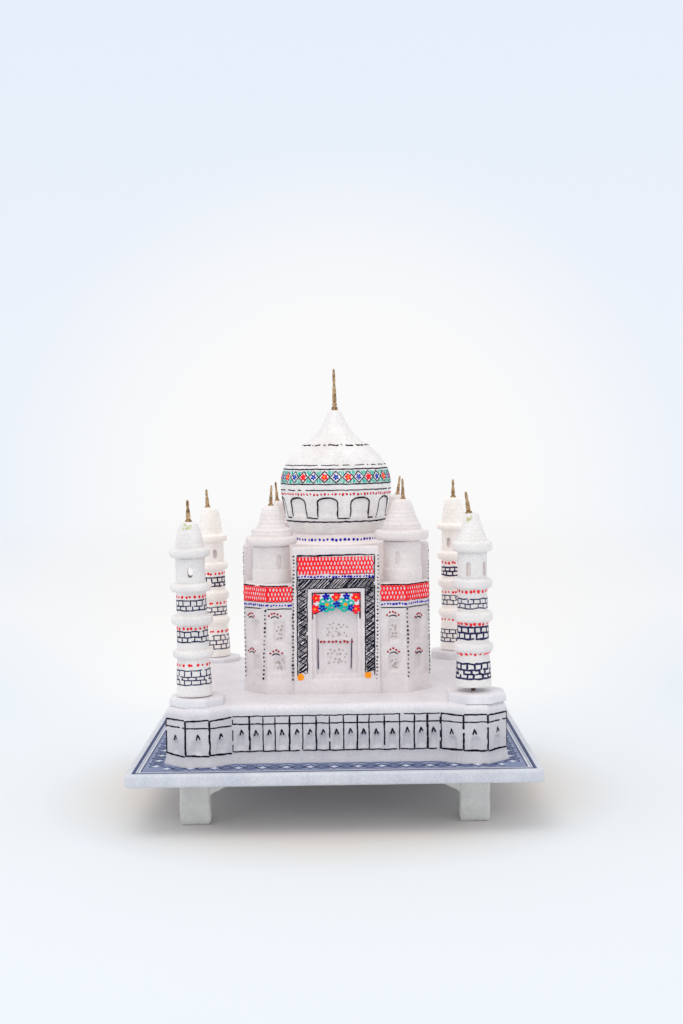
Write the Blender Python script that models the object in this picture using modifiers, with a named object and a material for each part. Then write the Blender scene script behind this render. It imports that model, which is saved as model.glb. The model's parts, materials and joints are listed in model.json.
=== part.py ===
"""Stone souvenir of a domed tomb with four minarets, on a slab with four feet.

The frame has +Z up and its origin on the standing surface under the middle of the slab; the front is -Y.
All lengths are in metres. Each carved, turned or cast piece is its own object.
"""
import math

import bmesh
import bpy
from mathutils import Matrix, Vector

MM = 0.001
GAP = 0.3 * MM                # room left between two pieces that touch

# Slab and feet
SLAB_SIZE = 203.0 * MM
SLAB_THICK = 6.3 * MM
SLAB_CORNER = 3.0 * MM
SLAB_EDGE = 1.4 * MM
FOOT_HEIGHT = 25.0 * MM
FOOT_WIDTH = 15.4 * MM
FOOT_CENTRE = 69.8 * MM       # distance of a foot's post from the middle, along X and along Y
FOOT_EDGE = 1.8 * MM
CORBEL = ((0.0, 15.0 * MM), (3.5 * MM, 17.0 * MM), (7.6 * MM, 19.2 * MM), (8.2 * MM, 20.6 * MM))
# (reach from the post and height, up the curve of a foot's brackets)
SLAB_TOP = FOOT_HEIGHT + SLAB_THICK

# Terrace
TERRACE_HEIGHT = 29.0 * MM
TERRACE_X = 1.25 * MM         # the terrace is glued a little to the right of the slab's middle
WALL_HALF = 78.3 * MM         # from the middle to a wall's face
WALL_EDGE = 3.6 * MM
BASTION_X = 68.5 * MM         # from the terrace's middle
BASTION_Y = 69.4 * MM
BASTION = ((-20.0 * MM, -20.0 * MM), (6.6 * MM, -20.0 * MM), (16.4 * MM, -6.6 * MM), (16.4 * MM, 6.6 * MM),
           (6.05 * MM, 16.2 * MM), (-6.05 * MM, 16.2 * MM), (-20.0 * MM, 6.6 * MM))      # outwards is positive
PEDESTAL_Y = 69.55 * MM
TERRACE_TOP = SLAB_TOP + TERRACE_HEIGHT

# Hall and portals
HALL_X = 2.0 * MM             # the hall is glued a little to the right as well
HALL_HALF = 48.4 * MM
HALL_CHAMFER = 12.4 * MM
HALL_HEIGHT = 57.0 * MM
PORTAL_HALF = 49.5 * MM       # from the hall's middle to a portal's outer face
PORTAL_WIDTH = 44.4 * MM
PORTAL_THICK = 7.0 * MM
PORTAL_HEIGHT = 76.1 * MM
PORTAL_EDGE = 0.8 * MM
RECESS_WIDTH = 25.7 * MM
RECESS_DEPTH = 1.2 * MM
RECESS_BOTTOM = 7.6 * MM
RECESS_TOP = 52.6 * MM
ARCH_WIDTH = 21.6 * MM
ARCH_DEPTH = 4.2 * MM
ARCH_SPRING = 41.9 * MM
ARCH_TOP = 46.0 * MM
NICHE_WIDTH = 6.0 * MM
NICHE_DEPTH = 3.0 * MM
NICHE_OFFSET = 29.6 * MM      # from a face's middle to the middle of a wing's niches
NICHE_RISE = 1.6 * MM
NICHE_LEVELS = ((12.0 * MM, 19.4 * MM), (27.2 * MM, 37.8 * MM))
ROOF = TERRACE_TOP + HALL_HEIGHT

# Drum and dome
DRUM_RADIUS = 26.0 * MM
DRUM_NECK = 24.0 * MM
DRUM_COLLAR_BOTTOM = 14.2 * MM
DRUM_COLLAR_TOP = 18.8 * MM
DRUM_COLLAR_OUT = 0.8 * MM
DRUM_HEIGHT = 23.2 * MM
SPIGOT_RADIUS = 12.0 * MM
SPIGOT_HEIGHT = 2.0 * MM
DOME_X = 2.4 * MM
DOME_HEIGHT = 66.1 * MM
DOME_TOP = ((2.3 * MM, 66.1 * MM), (3.6 * MM, 65.3 * MM), (5.0 * MM, 62.1 * MM), (7.5 * MM, 57.3 * MM),
            (12.0 * MM, 51.7 * MM), (18.5 * MM, 47.0 * MM), (22.9 * MM, 42.9 * MM), (26.0 * MM, 39.2 * MM),
            (28.2 * MM, 35.2 * MM), (29.8 * MM, 30.0 * MM), (30.2 * MM, 24.7 * MM))
DOME_BELLY = ((29.6 * MM, 18.4 * MM), (28.2 * MM, 11.9 * MM), (26.7 * MM, 5.5 * MM), (25.3 * MM, 0.6 * MM),
              (24.2 * MM, 0.0))
MAIN_FINIAL_HEIGHT = 22.4 * MM
MAIN_FINIAL_BASE = 1.75 * MM

# Roof kiosks
CHHATRI_RADIUS = 9.8 * MM
CHHATRI_LEDGE = 6.8 * MM
CHHATRI_LEDGE_OUT = 0.5 * MM
CHHATRI_SLOT_WIDTH = 2.4 * MM
CHHATRI_SLOT_DEPTH = 2.2 * MM
CHHATRI_FINIAL_HEIGHT = 10.5 * MM
CHHATRI_FINIAL_BASE = 1.35 * MM

# Minarets
MINARET_Y = 69.7 * MM
SHAFT_RADII = (7.4 * MM, 7.7 * MM, 8.1 * MM)         # above the top, middle and lowest ring
SHAFT_FOOT = 9.1 * MM
SHAFT_FOOT_EDGE = 0.6 * MM
KIOSK_RADIUS = 7.35 * MM
KIOSK_SLOT_WIDTH = 2.3 * MM
EAVE_INNER = 7.3 * MM
MINARET_FINIAL_HEIGHT = 10.6 * MM
MINARET_FINIAL_BASE = 1.75 * MM
PIN_RADIUS = 1.1 * MM
PIN_FIT = 0.15 * MM           # radial room of a pin in its holes
PIN_UP = 8.0 * MM             # length of pin in the minaret
PIN_DOWN = 8.0 * MM           # length of pin below the seat
TANG_RADIUS = 0.8 * MM
TANG_LENGTH = 2.2 * MM
TANG_BORE = 1.3 * MM
TANG_DEPTH = 2.6 * MM

ROUND_LARGE = 40
ROUND_MEDIUM = 24
ROUND_SMALL = 20
ROUND_TINY = 8

# Each minaret was turned and set by hand, so each has sizes of its own.
# lean and finial_lean are in degrees towards -X, proud is the height it stands off its seat, pedestal is its
# pedestal's x, width and height, rings are tops and bottoms above its foot, eave is radius and thickness, cap
# is (radius, height above the eave) from the top down, and slots are (direction in degrees, depth).
MINARETS = {
    "front_left": {
        "x": -69.7 * MM, "lean": 0.9, "proud": 0.0,
        "pedestal": (-68.4 * MM, 26.6 * MM, 3.85 * MM),
        "rings": ((56.55 * MM, 52.0 * MM), (40.65 * MM, 35.35 * MM), (23.4 * MM, 19.0 * MM)),
        "ring_radius": 10.4 * MM,
        "kiosk": 12.6 * MM, "slot_span": (2.7 * MM, 7.5 * MM),
        "slots": ((2.0, KIOSK_RADIUS), (92.0, KIOSK_RADIUS), (182.0, KIOSK_RADIUS), (272.0, KIOSK_RADIUS)),
        "eave": (10.1 * MM, 4.8 * MM),
        "cap": ((3.2 * MM, 13.2 * MM), (4.8 * MM, 12.0 * MM), (6.2 * MM, 7.3 * MM), (7.1 * MM, 2.6 * MM)),
        "finial_offset": 0.0, "finial_lean": 1.0},
    "front_right": {
        "x": 70.3 * MM, "lean": 0.0, "proud": 2.2 * MM,
        "pedestal": (71.7 * MM, 28.6 * MM, 4.35 * MM),
        "rings": ((54.2 * MM, 48.9 * MM), (37.75 * MM, 32.2 * MM), (22.05 * MM, 17.0 * MM)),
        "ring_radius": 10.1 * MM,
        "kiosk": 13.1 * MM, "slot_span": (0.8 * MM, 8.2 * MM),
        "slots": ((-20.0, 3.0 * MM), (50.0, 3.0 * MM), (160.0, 3.0 * MM), (230.0, 3.0 * MM)),
        "eave": (10.1 * MM, 5.5 * MM),
        "cap": ((3.0 * MM, 13.85 * MM), (3.4 * MM, 13.35 * MM), (4.2 * MM, 10.8 * MM), (5.2 * MM, 7.3 * MM),
                (6.25 * MM, 4.3 * MM), (7.25 * MM, 1.8 * MM), (7.8 * MM, 0.4 * MM)),
        "finial_offset": -1.4 * MM, "finial_lean": 8.0},
    "back_left": {
        "x": -71.6 * MM, "lean": 1.2, "proud": 0.0,
        "pedestal": (-70.6 * MM, 27.0 * MM, 2.45 * MM),
        "rings": ((56.1 * MM, 51.3 * MM), (39.15 * MM, 33.5 * MM), (23.5 * MM, 18.9 * MM)),
        "ring_radius": 9.5 * MM,
        "kiosk": 11.9 * MM, "slot_span": (2.2 * MM, 7.6 * MM),
        "slots": ((22.0, 3.0 * MM), (112.0, 3.0 * MM), (202.0, 3.0 * MM), (292.0, 3.0 * MM)),
        "eave": (9.7 * MM, 4.8 * MM),
        "cap": ((3.2 * MM, 16.0 * MM), (4.8 * MM, 14.8 * MM), (6.2 * MM, 8.8 * MM), (7.1 * MM, 3.2 * MM)),
        "finial_offset": -1.2 * MM, "finial_lean": 2.0},
    "back_right": {
        "x": 72.3 * MM, "lean": 0.2, "proud": 0.0,
        "pedestal": (71.6 * MM, 27.0 * MM, 4.35 * MM),
        "rings": ((58.8 * MM, 53.4 * MM), (42.2 * MM, 37.1 * MM), (24.5 * MM, 20.0 * MM)),
        "ring_radius": 9.9 * MM,
        "kiosk": 12.5 * MM, "slot_span": (2.4 * MM, 8.0 * MM),
        "slots": ((-30.0, 3.0 * MM), (60.0, 3.0 * MM), (150.0, 3.0 * MM), (240.0, 3.0 * MM)),
        "eave": (10.0 * MM, 4.2 * MM),
        "cap": ((3.6 * MM, 15.2 * MM), (5.1 * MM, 13.8 * MM), (6.2 * MM, 8.4 * MM), (6.9 * MM, 3.0 * MM)),
        "finial_offset": 0.0, "finial_lean": 0.0},
}
# Each roof kiosk: place is from the hall's middle, and the rest is as for the minarets.
TIERED_CAP = ((2.8 * MM, 15.8 * MM), (3.9 * MM, 15.4 * MM), (4.6 * MM, 14.1 * MM), (6.05 * MM, 8.9 * MM),
              (7.9 * MM, 4.7 * MM), (10.2 * MM, 3.8 * MM), (10.7 * MM, 0.5 * MM))
BELL_CAP = ((3.4 * MM, 16.0 * MM), (5.0 * MM, 15.0 * MM), (6.3 * MM, 11.4 * MM), (8.3 * MM, 6.1 * MM),
            (9.6 * MM, 3.5 * MM), (10.2 * MM, 1.2 * MM))
CHHATRIS = {
    "front_left": {
        "place": (-33.7 * MM, -34.2 * MM), "kiosk": 19.0 * MM, "slot_span": (7.6 * MM, 15.0 * MM),
        "slots": (26.0, 206.0), "eave": (13.7 * MM, 4.8 * MM), "cap": TIERED_CAP,
        "finial_offset": 0.0, "finial_lean": -3.0},
    "front_right": {
        "place": (34.8 * MM, -34.2 * MM), "kiosk": 20.8 * MM, "slot_span": (9.0 * MM, 15.8 * MM),
        "slots": (-16.0, 164.0), "eave": (14.1 * MM, 5.4 * MM), "cap": BELL_CAP,
        "finial_offset": 0.9 * MM, "finial_lean": 1.5},
    "back_left": {
        "place": (-33.4 * MM, 34.2 * MM), "kiosk": 18.3 * MM, "slot_span": (7.6 * MM, 15.0 * MM),
        "slots": (20.0, 200.0), "eave": (13.7 * MM, 5.2 * MM), "cap": TIERED_CAP,
        "finial_offset": 0.0, "finial_lean": 4.5},
    "back_right": {
        "place": (34.0 * MM, 34.2 * MM), "kiosk": 20.6 * MM, "slot_span": (8.6 * MM, 15.6 * MM),
        "slots": (-20.0, 160.0), "eave": (13.7 * MM, 5.2 * MM), "cap": BELL_CAP,
        "finial_offset": 1.5 * MM, "finial_lean": -8.0},
}

STONE = (0.86, 0.85, 0.86, 1.0)
BRASS = (0.55, 0.38, 0.18, 1.0)
IRON = (0.10, 0.06, 0.05, 1.0)


def clear_scene():
    for old in list(bpy.data.objects):
        bpy.data.objects.remove(old, do_unlink=True)


def new_collection(name):
    made = bpy.data.collections.new(name)
    bpy.context.scene.collection.children.link(made)
    return made


def new_material(name, colour, roughness, metallic=0.0):
    made = bpy.data.materials.new(name)
    made.use_nodes = True
    shader = made.node_tree.nodes["Principled BSDF"]
    shader.inputs["Base Color"].default_value = colour
    shader.inputs["Roughness"].default_value = roughness
    shader.inputs["Metallic"].default_value = metallic
    return made


def add_mesh(name, mesh, where, material=None, parent=None):
    """Put a mesh in the scene as an object, at a place in its parent's frame."""
    made = bpy.data.objects.new(name, mesh)
    made.location = where
    made.parent = parent
    if material:
        mesh.materials.clear()
        mesh.materials.append(material)
        PARTS.objects.link(made)
    else:
        CUTTERS.objects.link(made)
        made.hide_render = True
        made.display_type = "WIRE"
    return made


def block_mesh(name, size, edge=0.0, edge_segments=1, upright=0.0, upright_segments=1, top_only=False):
    """A box standing on z = 0, with its upright edges bevelled first and its level edges after."""
    bm = bmesh.new()
    bmesh.ops.create_cube(bm, size=1.0)
    bmesh.ops.scale(bm, vec=size, verts=bm.verts)
    bmesh.ops.translate(bm, vec=(0, 0, size[2] / 2), verts=bm.verts)
    if upright:
        vertical = [e for e in bm.edges if abs(e.verts[0].co.z - e.verts[1].co.z) > size[2] / 2]
        bmesh.ops.bevel(bm, geom=vertical, offset=upright, segments=upright_segments, profile=0.5,
                        affect="EDGES")
    if edge:
        tiny = 1e-6
        level = [e for e in bm.edges if abs(e.verts[0].co.z - e.verts[1].co.z) < tiny
                 and (not top_only or e.verts[0].co.z > size[2] / 2)]
        bmesh.ops.bevel(bm, geom=level, offset=edge, segments=edge_segments, profile=0.5, affect="EDGES")
    mesh = bpy.data.meshes.new(name)
    bm.to_mesh(mesh)
    bm.free()
    return mesh


def octagon_mesh(name, flats, height):
    """An octagonal prism standing on z = 0, with flat sides square to X and Y."""
    bm = bmesh.new()
    radius = flats / 2 / math.cos(math.pi / 8)
    bmesh.ops.create_cone(bm, cap_ends=True, segments=8, radius1=radius, radius2=radius, depth=height)
    bmesh.ops.rotate(bm, cent=(0, 0, 0), matrix=Matrix.Rotation(math.pi / 8, 3, "Z"), verts=bm.verts)
    bmesh.ops.translate(bm, vec=(0, 0, height / 2), verts=bm.verts)
    mesh = bpy.data.meshes.new(name)
    bm.to_mesh(mesh)
    bm.free()
    return mesh


def prism_mesh(name, outline, height, side_x, side_y):
    """An upright prism standing on z = 0, its outline mirrored to the side asked for."""
    bm = bmesh.new()
    corners = [bm.verts.new((side_x * x, side_y * y, 0.0)) for x, y in outline]
    floor = bm.faces.new(corners)
    raised = bmesh.ops.extrude_face_region(bm, geom=[floor])["geom"]
    lifted = [item for item in raised if isinstance(item, bmesh.types.BMVert)]
    bmesh.ops.translate(bm, vec=(0, 0, height), verts=lifted)
    bmesh.ops.recalc_face_normals(bm, faces=bm.faces)
    mesh = bpy.data.meshes.new(name)
    bm.to_mesh(mesh)
    bm.free()
    return mesh


def rod_mesh(name, radius, low, high, segments=ROUND_SMALL):
    bm = bmesh.new()
    bmesh.ops.create_cone(bm, cap_ends=True, segments=segments, radius1=radius, radius2=radius,
                          depth=high - low)
    bmesh.ops.translate(bm, vec=(0, 0, (low + high) / 2), verts=bm.verts)
    mesh = bpy.data.meshes.new(name)
    bm.to_mesh(mesh)
    bm.free()
    return mesh


def outline_mesh(name, points, thickness):
    """A flat outline in X and Z, as thick along Y as asked, centred on y = 0."""
    curve = bpy.data.curves.new(name, "CURVE")
    curve.dimensions = "2D"
    curve.fill_mode = "BOTH"
    curve.extrude = thickness / 2
    spline = curve.splines.new("POLY")
    spline.points.add(len(points) - 1)
    for spot, (x, z) in zip(spline.points, points):
        spot.co = (x, z, 0, 1)
    spline.use_cyclic_u = True
    holder = bpy.data.objects.new(name, curve)
    bpy.context.scene.collection.objects.link(holder)
    bpy.context.view_layer.update()
    mesh = bpy.data.meshes.new_from_object(holder.evaluated_get(bpy.context.evaluated_depsgraph_get()))
    bpy.data.objects.remove(holder, do_unlink=True)
    bm = bmesh.new()
    bm.from_mesh(mesh)
    bmesh.ops.remove_doubles(bm, verts=bm.verts, dist=1e-6)
    bmesh.ops.rotate(bm, cent=(0, 0, 0), matrix=Matrix.Rotation(math.pi / 2, 3, "X"), verts=bm.verts)
    bmesh.ops.recalc_face_normals(bm, faces=bm.faces)
    bm.to_mesh(mesh)
    bm.free()
    return mesh


def turned(name, profile, segments, material, where, parent=None):
    """A piece turned on a lathe: the profile runs from the axis at the top, down the outside, to the axis."""
    mesh = bpy.data.meshes.new(name)
    edges = [(i, i + 1) for i in range(len(profile) - 1)]
    mesh.from_pydata([(r, 0, z) for r, z in profile], edges, [])
    made = add_mesh(name, mesh, where, material, parent)
    screw = made.modifiers.new("Turn", "SCREW")
    screw.steps = segments
    screw.render_steps = segments
    screw.use_merge_vertices = True
    screw.merge_threshold = 0.00001
    screw.use_smooth_shade = True
    return made


def ring(inner, outer, top, bottom, inner_below=None):
    """The outline of a thick moulding with a rounded rim, from its top to its bottom."""
    thick = top - bottom
    below = inner_below or inner
    return [(inner, top), (outer - 1.0 * MM, top - 0.25 * MM), (outer - 0.15 * MM, top - 1.1 * MM),
            (outer, top - 0.5 * thick), (outer - 0.5 * MM, bottom + 0.8 * MM),
            (below + 0.6 * MM, bottom + 0.3 * MM), (below, bottom)]


def arch_outline(width, spring, top, bottom=0.0, steps=4):
    """A doorway outline with a pointed arch."""
    half = width / 2
    right = []
    for i in range(steps + 1):
        share = i / steps
        right.append((half * math.cos(share * math.pi / 2) ** 0.8, spring + (top - spring) * share))
    left = [(-x, z) for x, z in reversed(right[:-1])]
    return [(-half, bottom), (half, bottom)] + right + left


def cut(target, cutter, operation="DIFFERENCE"):
    change = target.modifiers.new(cutter.name, "BOOLEAN")
    change.operation = operation
    change.solver = "EXACT"
    change.object = cutter


def build_slab_and_feet():
    slab = block_mesh("base_slab", (SLAB_SIZE, SLAB_SIZE, SLAB_THICK), edge=SLAB_EDGE, edge_segments=2,
                      upright=SLAB_CORNER, upright_segments=3)
    add_mesh("base_slab", slab, (0, 0, FOOT_HEIGHT), STONE_MATERIAL)
    height = FOOT_HEIGHT - GAP
    half = FOOT_WIDTH / 2
    inside = half - 2 * MM
    corbel = [(inside, CORBEL[0][1])] + [(half + reach, level) for reach, level in CORBEL]
    corbel += [(half + CORBEL[-1][0], height), (inside, height)]
    post = block_mesh("foot_post", (FOOT_WIDTH, FOOT_WIDTH, height), edge=0.8 * MM, upright=FOOT_EDGE,
                      upright_segments=2)
    bracket = outline_mesh("corbel", corbel, FOOT_WIDTH - 2 * FOOT_EDGE)
    for side_x, x_name in ((-1, "left"), (1, "right")):
        for side_y, y_name in ((-1, "front"), (1, "back")):
            name = f"foot_{y_name}_{x_name}"
            centre = (side_x * FOOT_CENTRE, side_y * FOOT_CENTRE, 0)
            foot = add_mesh(name, post.copy(), centre, STONE_MATERIAL)
            along_x = add_mesh(f"{name}_corbel_x", bracket, centre)
            along_x.rotation_euler.z = math.pi if side_x > 0 else 0.0
            along_y = add_mesh(f"{name}_corbel_y", bracket, centre)
            along_y.rotation_euler.z = -math.pi / 2 if side_y > 0 else math.pi / 2
            cut(foot, along_x, "UNION")
            cut(foot, along_y, "UNION")


def side_y(name):
    """-1 for a piece at the front and 1 for one at the back."""
    return -1 if name.startswith("front") else 1


def pin_frames():
    """One empty for each minaret, on its seat and tilted with its pin."""
    for name, sizes in MINARETS.items():
        seat = bpy.data.objects.new(f"seat_{name}", None)
        seat.location = (sizes["x"], side_y(name) * MINARET_Y, TERRACE_TOP + sizes["pedestal"][2])
        seat.rotation_euler.y = -math.radians(sizes["lean"])
        PARTS.objects.link(seat)
        SEATS[name] = seat


def build_terrace():
    wall = block_mesh("terrace", (2 * WALL_HALF, 2 * WALL_HALF, TERRACE_HEIGHT - GAP), edge=WALL_EDGE,
                      edge_segments=3, top_only=True)
    terrace = add_mesh("terrace", wall, (TERRACE_X, 0, SLAB_TOP + GAP), STONE_MATERIAL)
    bore = rod_mesh("pin_bore", PIN_RADIUS + PIN_FIT, -PIN_DOWN - GAP, PIN_DOWN)
    for name, sizes in MINARETS.items():
        side_x = math.copysign(1, sizes["x"])
        corner = (TERRACE_X + side_x * BASTION_X, side_y(name) * BASTION_Y, SLAB_TOP + GAP)
        bastion = prism_mesh(f"bastion_{name}", BASTION, TERRACE_HEIGHT - GAP, side_x, side_y(name))
        cut(terrace, add_mesh(f"bastion_{name}", bastion, corner), "UNION")
        hole = add_mesh(f"pin_bore_{name}", bore, (0, 0, 0), parent=SEATS[name])
        cut(terrace, hole)
        x, flats, height = sizes["pedestal"]
        step = octagon_mesh(f"pedestal_{name}", flats, height - GAP)
        middle = (x, side_y(name) * PEDESTAL_Y, TERRACE_TOP + GAP)
        pedestal = add_mesh(f"pedestal_{name}", step, middle, STONE_MATERIAL)
        cut(pedestal, hole)


def portal_place(turn):
    """A portal's place and turn about the hall's middle."""
    spin = Matrix.Rotation(turn, 4, "Z")
    middle = Matrix.Translation((HALL_X, 0, TERRACE_TOP + GAP))
    return middle @ spin


def build_hall():
    size = (2 * HALL_HALF, 2 * HALL_HALF, HALL_HEIGHT - GAP)
    hall = add_mesh("hall", block_mesh("hall", size, upright=HALL_CHAMFER), (HALL_X, 0, TERRACE_TOP + GAP),
                    STONE_MATERIAL)
    slot_size = (PORTAL_WIDTH + 2 * GAP, 2 * PORTAL_THICK, PORTAL_HEIGHT)
    slot = block_mesh("portal_slot", slot_size)
    slab = block_mesh("portal", (PORTAL_WIDTH, PORTAL_THICK, PORTAL_HEIGHT - GAP), edge=PORTAL_EDGE,
                      edge_segments=2, top_only=True)
    recess = block_mesh("portal_recess", (RECESS_WIDTH, 2 * RECESS_DEPTH, RECESS_TOP - RECESS_BOTTOM))
    arch = outline_mesh("portal_arch", arch_outline(ARCH_WIDTH, ARCH_SPRING, ARCH_TOP, RECESS_BOTTOM),
                        2 * ARCH_DEPTH)
    niches = [outline_mesh(f"niche_{i}", arch_outline(NICHE_WIDTH, top - NICHE_RISE, top, bottom),
                           2 * NICHE_DEPTH) for i, (bottom, top) in enumerate(NICHE_LEVELS)]
    chamfer_face = math.sqrt(2) * (HALL_HALF - HALL_CHAMFER / 2)
    for index, face in enumerate(("front", "right", "back", "left")):
        place = portal_place(index * math.pi / 2)
        chamfer_place = portal_place((index + 0.5) * math.pi / 2)
        hole = add_mesh(f"portal_slot_{face}", slot, (0, 0, 0))
        hole.matrix_world = place @ Matrix.Translation((0, -PORTAL_HALF, -2 * GAP))
        cut(hall, hole)
        for level, mesh in enumerate(niches):
            for side in (-1, 1):
                cutter = add_mesh(f"niche_{face}_{level}_{'left' if side < 0 else 'right'}", mesh, (0, 0, 0))
                cutter.matrix_world = place @ Matrix.Translation((side * NICHE_OFFSET, -HALL_HALF, 0))
                cut(hall, cutter)
            cutter = add_mesh(f"niche_chamfer_{face}_{level}", mesh, (0, 0, 0))
            cutter.matrix_world = chamfer_place @ Matrix.Translation((0, -chamfer_face, 0))
            cut(hall, cutter)
        portal = add_mesh(f"portal_{face}", slab.copy(), (0, 0, 0), STONE_MATERIAL)
        portal.matrix_world = place @ Matrix.Translation((0, -PORTAL_HALF + PORTAL_THICK / 2, 0))
        outer = place @ Matrix.Translation((0, -PORTAL_HALF, 0))
        sunk = add_mesh(f"portal_recess_{face}", recess, (0, 0, 0))
        sunk.matrix_world = outer @ Matrix.Translation((0, 0, RECESS_BOTTOM))
        door = add_mesh(f"portal_arch_{face}", arch, (0, 0, 0))
        door.matrix_world = outer
        cut(portal, sunk)
        cut(portal, door)


def finial(name, height, base, where, parent, lean):
    """A cast brass spear with a knop, a disc and a tang that goes into the stone."""
    profile = [(0, height), (0.33 * base, 0.96 * height), (0.46 * base, 0.80 * height),
               (0.40 * base, 0.62 * height), (0.58 * base, 0.50 * height), (0.68 * base, 0.26 * height),
               (0.76 * base, 0.17 * height), (0.58 * base, 0.11 * height), (base, 0.07 * height), (base, 0),
               (TANG_RADIUS, 0), (TANG_RADIUS, -TANG_LENGTH), (0, -TANG_LENGTH)]
    made = turned(name, profile, ROUND_TINY, BRASS_MATERIAL, where, parent)
    made.rotation_euler.y = -math.radians(lean)
    return made


def tang_bore(top):
    """The start of a turned outline whose top has a blind hole for a finial's tang."""
    return [(0, top - TANG_DEPTH), (TANG_BORE, top - TANG_DEPTH), (TANG_BORE, top)]


def turned_cap(name, sizes, inner, segments, where, parent=None):
    """A cap on its eave, with a hole for its finial, which may be off the middle."""
    radius, thick = sizes["eave"]
    crown = [(r, thick + z) for r, z in sizes["cap"]]
    top = crown[0][1]
    offset = sizes["finial_offset"]
    start = [(0, top)] if offset else tang_bore(top)
    edge = ring(crown[-1][0], radius, thick, 0.0, inner)
    cap = turned(name, start + crown + edge + [(0, 0)], segments, STONE_MATERIAL, where, parent)
    if offset:
        bore = rod_mesh(f"tang_bore_{name}", TANG_BORE, -TANG_DEPTH, TANG_DEPTH, ROUND_TINY)
        cut(cap, add_mesh(f"tang_bore_{name}", bore, Vector(where) + Vector((offset, 0, top)), parent=parent))
    return Vector(where) + Vector((offset, 0, top + GAP))


def build_dome():
    drum = [(0, DRUM_HEIGHT + SPIGOT_HEIGHT), (SPIGOT_RADIUS, DRUM_HEIGHT + SPIGOT_HEIGHT),
            (SPIGOT_RADIUS, DRUM_HEIGHT), (DRUM_NECK, DRUM_HEIGHT), (DRUM_NECK, DRUM_COLLAR_TOP),
            (DRUM_RADIUS + DRUM_COLLAR_OUT, DRUM_COLLAR_TOP - DRUM_COLLAR_OUT),
            (DRUM_RADIUS, DRUM_COLLAR_BOTTOM), (DRUM_RADIUS, 0), (0, 0)]
    centre = Vector((DOME_X, 0, ROOF + GAP))
    turned("drum", drum, ROUND_LARGE, STONE_MATERIAL, centre)
    foot = centre + Vector((0, 0, DRUM_HEIGHT + GAP))
    socket = SPIGOT_RADIUS + GAP
    below = [(socket, 0), (socket, SPIGOT_HEIGHT + GAP), (0, SPIGOT_HEIGHT + GAP)]
    profile = tang_bore(DOME_HEIGHT) + list(DOME_TOP) + list(DOME_BELLY) + below
    turned("dome", profile, ROUND_LARGE, STONE_MATERIAL, foot)
    tip = foot + Vector((0, 0, DOME_HEIGHT + GAP))
    finial("main_finial", MAIN_FINIAL_HEIGHT, MAIN_FINIAL_BASE, tip, None, 0.6)


def cut_slot(kiosk, name, radius, width, span, direction, depth, where, parent=None):
    """Sink one upright slot into a kiosk's side, where 0 degrees faces the front."""
    low, high = span
    outside = 1.0 * MM
    mesh = block_mesh(name, (width, depth + outside, high - low))
    slot = add_mesh(name, mesh, (0, 0, 0), parent=parent)
    turn = math.radians(direction)
    middle = radius - depth + (depth + outside) / 2
    slot.location = Vector(where) + Vector((math.sin(turn) * middle, -math.cos(turn) * middle, low))
    slot.rotation_euler.z = turn
    cut(kiosk, slot)


def build_chhatris():
    ledge = CHHATRI_RADIUS + CHHATRI_LEDGE_OUT
    for name, sizes in CHHATRIS.items():
        height = sizes["kiosk"] - GAP
        body = [(0, height), (CHHATRI_RADIUS, height), (CHHATRI_RADIUS, CHHATRI_LEDGE),
                (ledge, CHHATRI_LEDGE - CHHATRI_LEDGE_OUT), (ledge, 0), (0, 0)]
        x, y = sizes["place"]
        centre = Vector((HALL_X + x, y, ROOF + GAP))
        kiosk = turned(f"chhatri_kiosk_{name}", body, ROUND_MEDIUM, STONE_MATERIAL, centre)
        for index, direction in enumerate(sizes["slots"]):
            cut_slot(kiosk, f"chhatri_slot_{name}_{index}", CHHATRI_RADIUS, CHHATRI_SLOT_WIDTH,
                     sizes["slot_span"], direction, CHHATRI_SLOT_DEPTH, centre)
        seat = centre + Vector((0, 0, sizes["kiosk"]))
        tip = turned_cap(f"chhatri_cap_{name}", sizes, CHHATRI_RADIUS, ROUND_MEDIUM, seat)
        finial(f"chhatri_finial_{name}", CHHATRI_FINIAL_HEIGHT, CHHATRI_FINIAL_BASE, tip, None,
               sizes["finial_lean"])


def shaft_outline(sizes):
    """A minaret's shaft: three thick rings, a tapering foot and the blind hole for the pin."""
    outline = [(0, sizes["rings"][0][0])]
    above = SHAFT_RADII[0]
    for below, (top, bottom) in zip(SHAFT_RADII, sizes["rings"]):
        outline += ring(above, sizes["ring_radius"], top, bottom, below)
        above = below + 0.3 * MM
    bore = PIN_RADIUS + PIN_FIT
    return outline + [(SHAFT_FOOT, SHAFT_FOOT_EDGE), (SHAFT_FOOT - SHAFT_FOOT_EDGE / 2, 0), (bore, 0),
                      (bore, PIN_UP + GAP), (0, PIN_UP + GAP)]


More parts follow.
